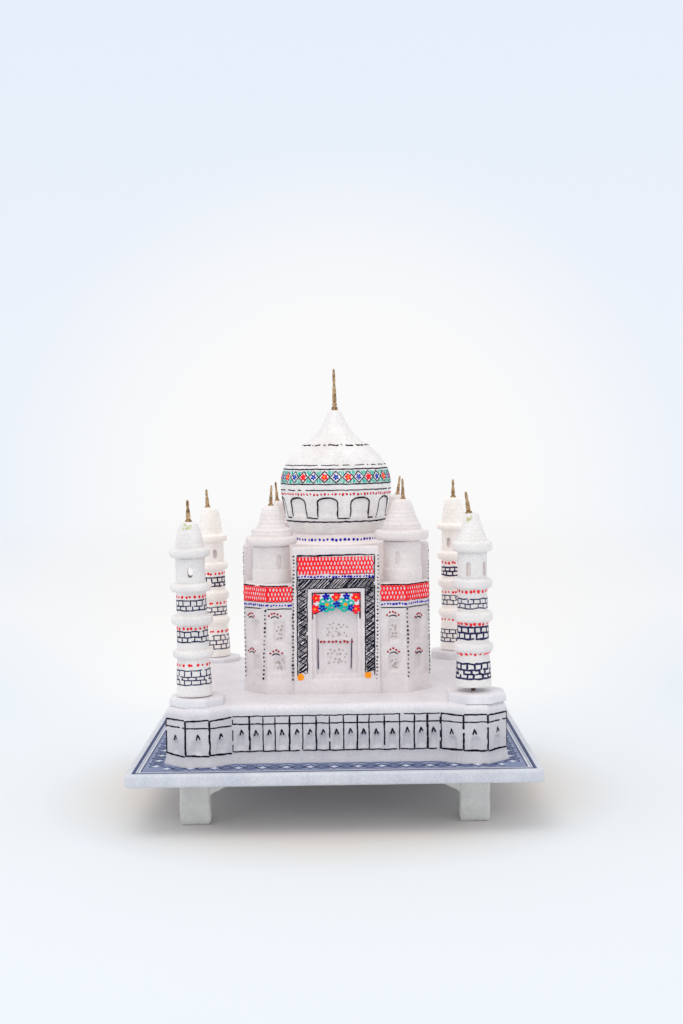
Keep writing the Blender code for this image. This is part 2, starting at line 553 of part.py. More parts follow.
def build_minarets():
    for name, sizes in MINARETS.items():
        seat = SEATS[name]
        pin = rod_mesh(f"minaret_pin_{name}", PIN_RADIUS, -PIN_DOWN, PIN_UP)
        add_mesh(f"minaret_pin_{name}", pin, (0, 0, sizes["proud"]), IRON_MATERIAL, seat)
        floor = GAP + sizes["proud"]
        shaft = shaft_outline(sizes)
        turned(f"minaret_shaft_{name}", shaft, ROUND_SMALL, STONE_MATERIAL, (0, 0, floor), seat)
        floor += sizes["rings"][0][0] + GAP
        height = sizes["kiosk"] - 2 * GAP
        body = [(0, height), (KIOSK_RADIUS, height), (KIOSK_RADIUS, 0), (0, 0)]
        kiosk = turned(f"minaret_kiosk_{name}", body, ROUND_SMALL, STONE_MATERIAL, (0, 0, floor), seat)
        for index, (direction, depth) in enumerate(sizes["slots"]):
            cut_slot(kiosk, f"minaret_slot_{name}_{index}", KIOSK_RADIUS, KIOSK_SLOT_WIDTH,
                     sizes["slot_span"], direction, depth, (0, 0, floor), seat)
        floor += height + GAP
        tip = turned_cap(f"minaret_cap_{name}", sizes, EAVE_INNER, ROUND_SMALL, (0, 0, floor), seat)
        finial(f"minaret_finial_{name}", MINARET_FINIAL_HEIGHT, MINARET_FINIAL_BASE, tip, seat,
               sizes["finial_lean"])


clear_scene()
PARTS = new_collection("domed_tomb_model")
CUTTERS = new_collection("cutters")
SEATS = {}
STONE_MATERIAL = new_material("white_stone", STONE, 0.35)
BRASS_MATERIAL = new_material("aged_brass", BRASS, 0.4, 1.0)
IRON_MATERIAL = new_material("rusty_pin", IRON, 0.6, 0.8)
pin_frames()
build_slab_and_feet()
build_terrace()
build_hall()
build_dome()
build_chhatris()
build_minarets()
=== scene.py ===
"""Looks of a hand-painted stone souvenir: a domed tomb with four minarets, on a slab with four feet.

Every stone is rebuilt as a fine mesh on its CAD node's place, and the pen work is thin raised ink on it.
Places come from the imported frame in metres; shapes are worked out in millimetre frames standing on them.
"""
import json
import math
import random

import bmesh
import bpy
from mathutils import Matrix, Vector, noise

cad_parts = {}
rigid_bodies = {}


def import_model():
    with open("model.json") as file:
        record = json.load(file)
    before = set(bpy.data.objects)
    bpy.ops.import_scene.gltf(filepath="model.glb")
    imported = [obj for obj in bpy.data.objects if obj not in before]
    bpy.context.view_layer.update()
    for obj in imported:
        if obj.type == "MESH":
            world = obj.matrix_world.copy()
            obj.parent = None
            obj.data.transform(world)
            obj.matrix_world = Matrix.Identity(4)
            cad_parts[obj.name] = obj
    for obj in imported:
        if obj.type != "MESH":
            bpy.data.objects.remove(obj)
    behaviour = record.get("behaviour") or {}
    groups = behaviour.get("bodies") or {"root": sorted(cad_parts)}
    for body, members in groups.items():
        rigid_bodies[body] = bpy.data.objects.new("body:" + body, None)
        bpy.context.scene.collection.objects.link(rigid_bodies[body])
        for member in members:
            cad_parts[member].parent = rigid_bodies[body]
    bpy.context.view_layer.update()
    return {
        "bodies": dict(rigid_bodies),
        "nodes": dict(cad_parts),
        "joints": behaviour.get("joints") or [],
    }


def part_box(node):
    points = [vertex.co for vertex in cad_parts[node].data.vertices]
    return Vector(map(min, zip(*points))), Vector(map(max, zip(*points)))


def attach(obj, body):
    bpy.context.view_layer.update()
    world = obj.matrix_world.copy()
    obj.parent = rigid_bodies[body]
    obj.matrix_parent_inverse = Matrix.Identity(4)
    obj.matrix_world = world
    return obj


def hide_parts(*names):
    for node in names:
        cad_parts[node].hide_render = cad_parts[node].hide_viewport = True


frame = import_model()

MM = 0.001
TO_METRES = Matrix.Scale(MM, 4)
QUARTER = math.pi / 2
EIGHTH = math.pi / 4
CORNERS = {"front_left": (-1, -1), "front_right": (1, -1), "back_left": (-1, 1), "back_right": (1, 1)}
FACES = ("front", "right", "back", "left")

# Ink
INK_LIFT = 0.07               # how far ink stands proud of the stone
INK_SINK = 0.3                # how far its skirt reaches into the stone
PEN = 0.62                    # width of a pen's tip
SPREAD = 1.25                 # how much wider its ink runs
GLUE_GAP = 0.35               # a stone reaches this far down, to close the CAD's gap under it


# ---------------------------------------------------------------- frames

def spot(x, y, z, turn=0.0):
    """A millimetre frame at a place given in metres, turned about Z."""
    return Matrix.Translation((x, y, z)) @ Matrix.Rotation(turn, 4, "Z") @ TO_METRES


def span(node, place):
    """A CAD node's lowest and highest corners, in a millimetre frame."""
    inverse = place.inverted()
    points = [inverse @ v.co for v in frame["nodes"][node].data.vertices]
    return [Vector([pick(p[i] for p in points) for i in range(3)]) for pick in (min, max)]


def middle(node):
    low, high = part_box(node)
    return (low + high) / 2


def minaret_frame(corner):
    """A millimetre frame on a minaret's turning axis, at its foot."""
    joint = next(j for j in frame["joints"] if j["name"] == f"turn_{corner}")
    axis = Vector(joint["axis"])
    lean = Vector((0, 0, 1)).rotation_difference(axis).to_matrix().to_4x4()
    return Matrix.Translation(joint["pos_m"]) @ lean @ TO_METRES


# ---------------------------------------------------------------- materials

def shader_of(name, roughness):
    made = bpy.data.materials.new(name)
    made.use_nodes = True
    tree = made.node_tree
    shader = tree.nodes["Principled BSDF"]
    shader.inputs["Roughness"].default_value = roughness
    where = tree.nodes.new("ShaderNodeTexCoord").outputs["Object"]
    return made, tree, shader, where


def noise_node(tree, where, scale, detail=3.0, rough=0.5, distortion=0.0):
    node = tree.nodes.new("ShaderNodeTexNoise")
    node.inputs["Scale"].default_value = scale
    node.inputs["Detail"].default_value = detail
    node.inputs["Roughness"].default_value = rough
    node.inputs["Distortion"].default_value = distortion
    tree.links.new(where, node.inputs["Vector"])
    return node.outputs["Fac"]


def ramp_node(tree, value, stops):
    node = tree.nodes.new("ShaderNodeValToRGB")
    ramp = node.color_ramp
    while len(ramp.elements) < len(stops):
        ramp.elements.new(0.5)
    for element, (place, colour) in zip(ramp.elements, stops):
        element.position = place
        element.color = (*colour, 1.0)
    tree.links.new(value, node.inputs["Fac"])
    return node.outputs["Color"]


def mix_node(tree, factor, a, b, blend="MIX"):
    node = tree.nodes.new("ShaderNodeMix")
    node.data_type = "RGBA"
    node.blend_type = blend
    for socket, value in ((node.inputs[0], factor), (node.inputs[6], a), (node.inputs[7], b)):
        if isinstance(value, bpy.types.NodeSocket):
            tree.links.new(value, socket)
        elif isinstance(value, tuple):
            socket.default_value = (*value, 1.0)
        else:
            socket.default_value = value
    return node.outputs[2]


def bump_node(tree, shader, layers):
    """Bumps one on another: each layer is a height, its distance in metres and its strength."""
    normal = None
    for height, distance, strength in layers:
        node = tree.nodes.new("ShaderNodeBump")
        node.inputs["Strength"].default_value = strength
        node.inputs["Distance"].default_value = distance
        tree.links.new(height, node.inputs["Height"])
        if normal:
            tree.links.new(normal, node.inputs["Normal"])
        normal = node.outputs["Normal"]
    tree.links.new(normal, shader.inputs["Normal"])


def vector_node(tree, operation, value, other=None):
    """A vector worked out from another one and, where there is one, a fixed vector."""
    node = tree.nodes.new("ShaderNodeVectorMath")
    node.operation = operation
    tree.links.new(value, node.inputs[0])
    if other:
        node.inputs[1].default_value = other
    return node.outputs["Value" if operation in ("LENGTH", "DOT_PRODUCT") else "Vector"]


def axis_node(tree, value, axis):
    node = tree.nodes.new("ShaderNodeSeparateXYZ")
    tree.links.new(value, node.inputs[0])
    return node.outputs[axis]


def range_node(tree, value, low, high, at_low, at_high):
    node = tree.nodes.new("ShaderNodeMapRange")
    for socket, number in (("From Min", low), ("From Max", high), ("To Min", at_low), ("To Max", at_high)):
        node.inputs[socket].default_value = number
    tree.links.new(value, node.inputs["Value"])
    return node


def grey(value):
    return (value, value, value)


def stone(name, light, dark, glow=0.12, roughness=0.42, vein=0.25, painted_shade_below=None, painted_glow=0.0):
    """Crystalline white stone: cloudy patches, faint veins and sugary grain.

    The shade-below pair is a height in metres under which the stone is darkened as painted shade, and how
    dark that is.
    """
    made, tree, shader, where = shader_of(name, roughness)
    cloud = noise_node(tree, where, 62.0, 5.0, 0.62, 0.4)
    body = ramp_node(tree, cloud, ((0.32, dark), (0.66, light)))
    wisp = noise_node(tree, where, 38.0, 7.0, 0.7, 2.4)
    streak = ramp_node(tree, wisp, ((0.465, grey(1.0)), (0.5, grey(0.86)), (0.535, grey(1.0))))
    body = mix_node(tree, vein, body, streak, "MULTIPLY")
    grain = noise_node(tree, where, 1150.0, 2.0, 0.6)
    sugar = ramp_node(tree, grain, ((0.3, grey(0.88)), (0.62, grey(1.04))))
    body = mix_node(tree, 0.75, body, sugar, "MULTIPLY")
    # Painted shade: the stone is darker below the given height, where the wall gets less light.
    if painted_shade_below:
        height, darkness = painted_shade_below
        painted_low_shade = range_node(tree, axis_node(tree, where, "Z"), height - 0.006, height, darkness, 1.0)
        body = mix_node(tree, 1.0, body, painted_low_shade.outputs["Result"], "MULTIPLY")
    # Painted glow: the stone gives off light in its own light tone, brighter than the lamps make it.
    if painted_glow:
        shader.inputs["Emission Color"].default_value = (*light, 1.0)
        shader.inputs["Emission Strength"].default_value = painted_glow
    tree.links.new(body, shader.inputs["Base Color"])
    gloss = ramp_node(tree, cloud, ((0.3, grey(roughness - 0.08)), (0.7, grey(roughness + 0.14))))
    tree.links.new(gloss, shader.inputs["Roughness"])
    shader.inputs["Subsurface Weight"].default_value = glow
    shader.inputs["Subsurface Radius"].default_value = (1.0, 0.85, 0.75)
    shader.inputs["Subsurface Scale"].default_value = 0.004
    shader.inputs["Specular IOR Level"].default_value = 0.4
    bump_node(tree, shader, ((wisp, 0.0004, 0.25), (grain, 0.00012, 0.55)))
    return made


def ink(name, colour, thin, patchy=0.5, glow=0.0):
    """Felt pen on stone: the colour thins out in small patches."""
    made, tree, shader, where = shader_of(name, 0.6)
    shader.inputs["Specular IOR Level"].default_value = 0.12
    stain = noise_node(tree, where, 900.0, 3.0, 0.65)
    body = ramp_node(tree, stain, ((0.34, thin), (0.34 + 0.3 * patchy, colour)))
    tree.links.new(body, shader.inputs["Base Color"])
    # Painted glow: some inks give off light in their own colour, brighter than the lamps make them.
    if glow:
        shader.inputs["Emission Color"].default_value = (*colour, 1.0)
        shader.inputs["Emission Strength"].default_value = glow
    bump_node(tree, shader, ((stain, 0.00008, 0.5),))
    return made


def cast_brass(name):
    """Dull cast brass with patches of brown tarnish."""
    made, tree, shader, where = shader_of(name, 0.4)
    shader.inputs["Metallic"].default_value = 1.0
    tarnish = noise_node(tree, where, 520.0, 4.0, 0.6)
    body = ramp_node(tree, tarnish, ((0.32, (0.20, 0.115, 0.055)), (0.5, (0.46, 0.30, 0.16)),
                                     (0.72, (0.78, 0.57, 0.34))))
    tree.links.new(body, shader.inputs["Base Color"])
    dull = ramp_node(tree, tarnish, ((0.3, grey(0.62)), (0.7, grey(0.3))))
    tree.links.new(dull, shader.inputs["Roughness"])
    pits = noise_node(tree, where, 1500.0, 2.0, 0.5)
    bump_node(tree, shader, ((tarnish, 0.0003, 0.6), (pits, 0.0001, 0.5)))
    return made


def rusted_iron(name):
    made, tree, shader, where = shader_of(name, 0.75)
    shader.inputs["Metallic"].default_value = 0.35
    rust = noise_node(tree, where, 1400.0, 4.0, 0.6)
    body = ramp_node(tree, rust, ((0.35, (0.035, 0.018, 0.012)), (0.6, (0.13, 0.05, 0.025)),
                                  (0.8, (0.26, 0.12, 0.06))))
    tree.links.new(body, shader.inputs["Base Color"])
    bump_node(tree, shader, ((rust, 0.0003, 0.8),))
    return made


def dried_glue(name):
    """A smear of yellowish glue."""
    made, tree, shader, where = shader_of(name, 0.22)
    smear = noise_node(tree, where, 420.0, 3.0, 0.6)
    body = ramp_node(tree, smear, ((0.35, (0.62, 0.56, 0.26)), (0.65, (0.86, 0.84, 0.66))))
    tree.links.new(body, shader.inputs["Base Color"])
    shader.inputs["Subsurface Weight"].default_value = 0.2
    shader.inputs["Subsurface Scale"].default_value = 0.003
    shader.inputs["Coat Weight"].default_value = 0.4
    bump_node(tree, shader, ((smear, 0.0002, 0.5),))
    return made


SLAB_STONE = stone("cool_slab_stone", (0.715, 0.725, 0.77), (0.60, 0.62, 0.69), vein=0.5)
FOOT_STONE = stone("waxy_foot_stone", (0.76, 0.755, 0.725), (0.63, 0.625, 0.60), glow=0.3, roughness=0.3)
# Its lavender tint is painted bluish bounce light from the dark printed slab.
# The terrace's wall is darkened below its rounded top edge as painted shade.
TERRACE_STONE = stone("terrace_stone_painted_blue_bounce", (0.85, 0.82, 0.84), (0.75, 0.72, 0.755), painted_shade_below=(0.0595, 0.82))
HALL_STONE = stone("rosy_hall_stone", (0.84, 0.775, 0.765), (0.75, 0.68, 0.675), glow=0.2)
PORTAL_STONE = stone("rosy_portal_stone", (0.84, 0.775, 0.775), (0.76, 0.69, 0.69), glow=0.2)
# The dome's stone has a faint painted glow that keeps its lower belly bright in shade.
DOME_STONE = stone("cloudy_dome_stone", (0.87, 0.84, 0.825), (0.76, 0.715, 0.70), glow=0.15, vein=0.6,
                   painted_glow=0.07)
KIOSK_STONE = stone("warm_kiosk_stone", (0.88, 0.81, 0.79), (0.80, 0.735, 0.715), glow=0.25)
# The drum's stone gives off a painted glow so it stays bright in the shade under the dome.
DRUM_STONE = stone("painted_glow_drum_stone", (0.82, 0.75, 0.735), (0.75, 0.68, 0.665), glow=0.2, painted_glow=0.27)
CLEAR_STONE = stone("clear_minaret_stone", (0.885, 0.845, 0.82), (0.79, 0.755, 0.74), glow=0.25)
# The back minarets' cream stone is lighter and gives off a painted glow: painted light for the backlight
# through them.
PAINTED_BACKLIGHT_STONE = stone("cream_minaret_stone", (0.91, 0.865, 0.815), (0.83, 0.78, 0.73), glow=0.25, painted_glow=0.12)
SLOT_STONE = stone("glowing_slot_stone", (0.87, 0.80, 0.77), (0.80, 0.73, 0.70), glow=0.2)
BRASS = cast_brass("aged_brass")
RUST = rusted_iron("rusty_pin")
GLUE = dried_glue("yellow_glue")
INKS = {
    "black": ink("black_pen", (0.006, 0.005, 0.014), (0.025, 0.02, 0.05)),
    "night": ink("blue_black_pen", (0.02, 0.02, 0.07), (0.07, 0.07, 0.17)),
    "berry": ink("dark_red_pen", (0.36, 0.01, 0.02), (0.6, 0.03, 0.05)),
    # The red, teal and orange pens carry a painted glow.
    "red": ink("red_pen", (0.86, 0.012, 0.022), (0.88, 0.04, 0.06), glow=0.14),
    "blue": ink("blue_pen", (0.012, 0.006, 0.42), (0.03, 0.02, 0.55)),
    "teal": ink("teal_pen", (0.003, 0.46, 0.36), (0.05, 0.60, 0.48), glow=0.05),
    "orange": ink("orange_pen", (0.95, 0.30, 0.01), (0.95, 0.40, 0.04), glow=0.10),
    "glue": GLUE,
    # Pale marks of painted light that brighten the shaded recess over a doorway.
    "light": ink("painted_light_panel", (0.86, 0.83, 0.87), (0.80, 0.77, 0.81), patchy=1.0),
    # Brown dots of painted shade standing for drill holes.
    "brown": ink("painted_hole_shade", (0.44, 0.38, 0.34), (0.60, 0.54, 0.50)),
    "navy": ink("navy_print", (0.035, 0.05, 0.14), (0.10, 0.13, 0.25), patchy=0.8),
    "slate": ink("slate_print", (0.17, 0.21, 0.36), (0.27, 0.31, 0.45), patchy=1.0),
    "white": ink("bare_print", (0.70, 0.73, 0.82), (0.55, 0.60, 0.72), patchy=0.8),
}


# ---------------------------------------------------------------- stone meshes

def relief(point, strength=1.0):
    """How far hand-worked stone stands off its true surface, in mm, at a world place in metres."""
    mm = point / MM
    broad = noise.noise(mm / 12.0)
    fine = noise.noise(mm / 3.3 + Vector((7.0, 3.0, 1.0)))
    return strength * (0.17 * broad + 0.045 * fine)


def put(name, verts, faces, material, body, node=None, sharp=40.0, tidy=True):
    """Make a piece from world vertices, riding on a body and standing for a CAD node."""
    mesh = bpy.data.meshes.new(name)
    mesh.from_pydata(verts, [], faces)
    if tidy:
        bm = bmesh.new()
        bm.from_mesh(mesh)
        bmesh.ops.recalc_face_normals(bm, faces=bm.faces)
        bm.to_mesh(mesh)
        bm.free()
    mesh.shade_smooth()
    mesh.set_sharp_from_angle(angle=math.radians(sharp))
    mesh.materials.append(material)
    made = bpy.data.objects.new(name, mesh)
    bpy.context.scene.collection.objects.link(made)
    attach(made, body)
    if node:
        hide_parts(node)
    return made


def resample(points, step, closed=False):
    """The same path with a point every step or less; its own points stay."""
    ends = list(zip(points, points[1:] + points[:1] if closed else points[1:]))
    made = []
    for a, b in ends:
        count = max(1, math.ceil((Vector(b) - Vector(a)).length / step))
        made += [Vector(a).lerp(Vector(b), i / count) for i in range(count)]
    return made if closed else made + [Vector(points[-1])]


def soften(points, rounds=2, closed=False):
    """Corners cut off, then the new corners again."""
    for _ in range(rounds):
        pairs = list(zip(points, points[1:] + points[:1] if closed else points[1:]))
        cut = [p for a, b in pairs for p in (a.lerp(b, 0.25), a.lerp(b, 0.75))]
        points = cut if closed else [points[0]] + cut[1:-1] + [points[-1]]
    return points


def lathe(name, outline, segments, place, material, body, node=None, strength=1.0, step=1.6,
          carve=None):
    """A turned piece: its outline runs from the axis at the top, down the outside, to the axis."""
    path = soften(resample(outline, step))
    verts, rings = [], []
    for i, point in enumerate(path):
        before, after = path[max(i - 1, 0)], path[min(i + 1, len(path) - 1)]
        along = (after - before).normalized()
        normal = Vector((-along.y, along.x))
        if point.x < 1e-6:
            rings.append([len(verts)])
            verts.append(place @ Vector((0, 0, point.y)))
            continue
        ring = []
        for k in range(segments):
            angle = 2 * math.pi * k / segments
            way = Vector((math.sin(angle), -math.cos(angle), 0))
            base = way * point.x + Vector((0, 0, point.y))
            out = way * normal.x + Vector((0, 0, normal.y))
            lift = relief(place @ base, strength) - (carve(angle, point.y) if carve else 0.0)
            ring.append(len(verts))
            verts.append(place @ (base + out * lift))
        rings.append(ring)
    faces = []
    for upper, lower in zip(rings, rings[1:]):
        for k in range(segments):
            n = (k + 1) % segments
            corners = [upper[k % len(upper)], lower[k % len(lower)], lower[n % len(lower)],
                       upper[n % len(upper)]]
            faces.append(tuple(dict.fromkeys(corners)))
    faces = [f for f in faces if len(f) > 2]
    return put(name, verts, faces, material, body, node, sharp=60.0)


def radius_on(outline, step=1.6):
    """The outside radius of a turned outline at a height, and its slope, as a function."""
    path = soften(resample(outline, step))

    def look(z):
        best = (0.0, 0.0)
        for a, b in zip(path, path[1:]):
            if min(a.y, b.y) <= z <= max(a.y, b.y) and abs(a.y - b.y) > 1e-9:
                share = (z - a.y) / (b.y - a.y)
                radius = a.x + (b.x - a.x) * share
                if radius > best[0]:
                    best = (radius, (b.x - a.x) / (b.y - a.y))
        return best
    return look


def offset_plan(corners, outset):
    """A plan outline moved outwards, with sharp mitres."""
    count = len(corners)
    moved = []
    for i, point in enumerate(corners):
        before = (point - corners[i - 1]).normalized()
        after = (corners[(i + 1) % count] - point).normalized()
        first, second = Vector((before.y, -before.x)), Vector((after.y, -after.x))
        moved.append(point + (first + second) * outset / max(0.4, 1 + first.dot(second)))
    return moved


def plan_points(corners, counts):
    """A plan outline with the asked number of points on each side and its corners taken off."""
    points = []
    for i, count in enumerate(counts):
        following = corners[(i + 1) % len(corners)]
        points += [corners[i].lerp(following, k / count) for k in range(count)]
    return soften(points, 1, True)


def loft(name, plan, layers, place, material, body, node=None, strength=1.0, step=0.8, carve=None):
    """A stack of copies of a plan outline, each with an outset and a height, bottom to top, capped."""
    counts = [max(1, math.ceil((b - a).length / step)) for a, b in zip(plan, plan[1:] + plan[:1])]
    true = plan_points(plan, counts)
    count = len(true)
    ways = []
    for i in range(count):
        along = true[(i + 1) % count] - true[i - 1]
        ways.append(Vector((along.y, -along.x, 0)).normalized())
    verts = []
    for outset, z in layers:
        for point, out in zip(plan_points(offset_plan(plan, outset), counts), ways):
            base = Vector((*point, z))
            lift = relief(place @ base, strength) - (carve(base, out) if carve else 0.0)
            verts.append(place @ (base + out * lift))
    faces = [tuple(reversed(range(count)))]
    for layer in range(len(layers) - 1):
        for k in range(count):
            a, b = layer * count + k, layer * count + (k + 1) % count
            faces.append((a, b, b + count, a + count))
    top = (len(layers) - 1) * count
    faces.append(tuple(range(top, top + count)))
    return put(name, verts, faces, material, body, node, sharp=50.0)


def heights(low, high, step):
    count = max(1, math.ceil((high - low) / step))
    return [low + (high - low) * i / count for i in range(count + 1)]


def rise(value, low, high):
    """Smooth step from 0 at low to 1 at high."""
    share = min(1.0, max(0.0, (value - low) / (high - low)))
    return share * share * (3 - 2 * share)


class Scoops:
    """Niches cut into upright faces, kept by the way that their face looks."""

    def __init__(self):
        self.by_way = {}

    def key(self, out):
        return round(math.atan2(out.x, -out.y) / math.radians(3.0)) % 120

    def add(self, out, across, low, high, half, depth, soft=0.7, sill=1.2, spring=None):
        for near in (-1, 0, 1):
            there = self.by_way.setdefault((self.key(out) + near) % 120, [])
            there.append((across, low, high, half, depth, soft, sill, high if spring is None else spring))

    def depth(self, base, out):
        found = 0.0
        across_way = Vector((-out.y, out.x, 0))
        u = base.dot(across_way)
        for across, low, high, half, depth, soft, sill, spring in self.by_way.get(self.key(out), ()):
            side = abs(u - across)
            if side > half + soft or not low - sill < base.z < high + soft:
                continue
            width = half
            if base.z > spring:
                width = half * math.sqrt(max(0.0, 1 - ((base.z - spring) / (high + soft - spring)) ** 2))
            inside = rise(width + soft / 2 - side, 0, soft)
            inside *= rise(base.z, low - sill, low + 0.3)
            inside *= 1 - rise(base.z, high - soft / 2, high + soft / 2)
            found = max(found, depth * inside)
        return found


# ---------------------------------------------------------------- ink

class Coat:
    """Marks of one colour on one body, gathered into one mesh."""

    def __init__(self):
        self.verts = []
        self.faces = []

    def raised(self, low, high):
        """A flat mark: a loop of points on the stone and the same loop on top of the ink."""
        count, start = len(low), len(self.verts)
        self.verts += low + high
        self.faces.append(tuple(reversed(range(start, start + count))))
        self.faces.append(tuple(range(start + count, start + 2 * count)))
        for i in range(count):
            j = (i + 1) % count
            self.faces.append((start + i, start + j, start + count + j, start + count + i))

    def ribbon(self, rows):
        """A long mark: each row is right foot, right top, left top and left foot."""
        start, last = len(self.verts), len(rows) - 1
        self.verts += [p for row in rows for p in row]
        for i in range(last):
            a, b = start + 4 * i, start + 4 * (i + 1)
            self.faces += [(a + 1, b + 1, b + 2, a + 2), (a, b, b + 1, a + 1), (b + 3, a + 3, a + 2, b + 2),
                           (a + 3, b + 3, b, a)]
        end = start + 4 * last
        self.faces += [(start, start + 1, start + 2, start + 3), (end + 3, end + 2, end + 1, end)]


def flat(place):
    """A flat face looking along its frame's -Y: u runs along X and v along Z."""
    out = Vector((0, -1, 0))

    def where(u, v, lift):
        base = Vector((u, 0, v))
        return place @ (base + out * (lift + relief(place @ base)))
    return where


def smooth_flat(place):
    """A flat face without tool marks."""
    def where(u, v, lift):
        return place @ Vector((u, -lift, v))
    return where


def round_face(place, radius_at, reference):
    """A turned surface: u runs round it, measured at a reference radius, and v is height."""
    def where(u, v, lift):
        angle = u / reference
        radius, slope = radius_at(v)
        way = Vector((math.sin(angle), -math.cos(angle), 0))
        out = (way - Vector((0, 0, slope))).normalized()
        base = way * radius + Vector((0, 0, v))
        return place @ (base + out * (lift + relief(place @ base)))
    return where


class Pen:
    """Draws on one surface, with a hand that shakes the same way each time."""

    def __init__(self, group, surface, seed):
        self.group = group
        self.surface = surface
        self.rng = random.Random(seed)

    def coat(self, colour):
        return COATS.setdefault((self.group, colour), Coat())

    def shake(self, size):
        return self.rng.uniform(-size, size)

    def line(self, colour, points, width=PEN, wander=0.14, breaks=0.0, lift=INK_LIFT, step=0.9):
        path = resample([Vector(p) for p in points], step)
        if len(path) < 3:
            path = resample([Vector(p) for p in points], step / 2)
        phase = self.rng.uniform(0, 90)
        rows, run = [], 0.0
        for i, point in enumerate(path):
            before, after = path[max(i - 1, 0)], path[min(i + 1, len(path) - 1)]
            along = (after - before).normalized()
            side = Vector((-along.y, along.x))
            run += (point - before).length
            drift = wander * noise.noise(Vector((run / 3.5, phase, 0)))
            swell = 1 + 0.38 * noise.noise(Vector((run / 1.7, phase, 9.0)))
            half = SPREAD * width / 2 * swell * (0.72 if i in (0, len(path) - 1) else 1.0)
            missing = breaks and noise.noise(Vector((run / 2.2, phase, 21.0))) > 0.62 - breaks
            if missing:
                if len(rows) > 1:
                    self.coat(colour).ribbon(rows)
                rows = []
                continue
            spine = point + side * drift
            right, left = spine - side * half, spine + side * half
            inner = 0.25 * half
            skirt = lift - INK_LIFT - INK_SINK
            rows.append((self.surface(*right, skirt), self.surface(*(right + side * inner), lift),
                         self.surface(*(left - side * inner), lift), self.surface(*left, skirt)))
        if len(rows) > 1:
            self.coat(colour).ribbon(rows)

    def patch(self, colour, outline, lift=INK_LIFT, sink=INK_SINK, shrink=0.88):
        points = [Vector(p) for p in outline]
        centre = sum(points, Vector((0, 0))) / len(points)
        low = [self.surface(*p, lift - INK_LIFT - sink) for p in points]
        high = [self.surface(*centre.lerp(p, shrink), lift) for p in points]
        self.coat(colour).raised(low, high)

    def dot(self, colour, u, v, radius, stretch=1.0, tilt=0.0, lift=INK_LIFT, rough=0.12):
        sides = 8
        outline = []
        for i in range(sides):
            angle = 2 * math.pi * i / sides
            reach = radius * (1 + self.shake(rough))
            x, y = reach * math.cos(angle) * stretch, reach * math.sin(angle)
            outline.append((u + x * math.cos(tilt) - y * math.sin(tilt),
                            v + x * math.sin(tilt) + y * math.cos(tilt)))
        self.patch(colour, outline, lift, shrink=0.78)

    def dots(self, colour, u0, u1, v, pitch, radius, stretch=1.0, tilt=0.0, lift=INK_LIFT):
        """A row of dots tapped by hand."""
        count = max(2, round(abs(u1 - u0) / pitch) + 1)
        for i in range(count):
            u = u0 + (u1 - u0) * i / (count - 1) + self.shake(0.14 * pitch)
            self.dot(colour, u, v + self.shake(0.25), radius * (1 + self.shake(0.25)), stretch, tilt, lift)

    def column(self, colour, u, v0, v1, pitch, radius, lean=0.0):
        count = round(abs(v1 - v0) / pitch) + 1
        for i in range(count):
            v = v0 + (v1 - v0) * i / (count - 1) + self.shake(0.2)
            self.dot(colour, u + lean * i / (count - 1) + self.shake(0.18), v, radius * (1 + self.shake(0.3)))

    def petals(self, colour, u, v, count, reach, radius, turn=0.0, lift=INK_LIFT):
        for i in range(count):
            angle = turn + 2 * math.pi * i / count
            self.dot(colour, u + reach * math.cos(angle), v + reach * math.sin(angle), radius,
                     stretch=1.45, tilt=angle, lift=lift)


COATS = {}


def lay_coats():
    """Turn the gathered marks into pieces."""
    for (group, colour), coat in COATS.items():
        body = group if group in frame["bodies"] else "root"
        put(f"{colour}_marks_{group}", coat.verts, coat.faces, INKS[colour], body, None, 35.0, False)


# ---------------------------------------------------------------- slab, print and feet

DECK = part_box("base_slab")[1].z
SLAB_HALF = (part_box("base_slab")[1].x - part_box("base_slab")[0].x) / 2 / MM
SLAB_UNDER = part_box("base_slab")[0].z


def square(half, corner, steps=3):
    """A square plan with rounded corners, counter-clockwise from the right of the front edge."""
    points = []
    for k in range(4):
        turn = Matrix.Rotation(k * QUARTER, 2)
        for i in range(steps + 1):
            angle = -QUARTER + QUARTER * i / steps
            centre = half - corner
            point = Vector((centre + corner * math.cos(angle), -centre + corner * math.sin(angle)))
            points.append(turn @ point)
    return points


def build_slab():
    place = spot(0, 0, SLAB_UNDER)
    thick = (DECK - SLAB_UNDER) / MM
    layers = [(-1.6, 0.0), (-0.7, 0.12), (-0.15, 0.7), (0.0, 1.5), (0.0, thick / 2), (0.0, thick - 1.4),
              (-0.15, thick - 0.6), (-0.55, thick - 0.15), (-1.2, thick), (-2.0, thick)]

    def nibbles(base, out):
        """Small chips along the top edge."""
        chip = noise.noise(base / 2.6 + Vector((3.0, 0, 0))) - 0.38
        return max(0.0, chip) * 1.6 * rise(base.z, thick - 2.6, thick - 0.6)
    loft("slab_stone_slab", square(SLAB_HALF, 3.0), layers, place, SLAB_STONE, "root", "base_slab",
         strength=0.9, step=1.0, carve=nibbles)


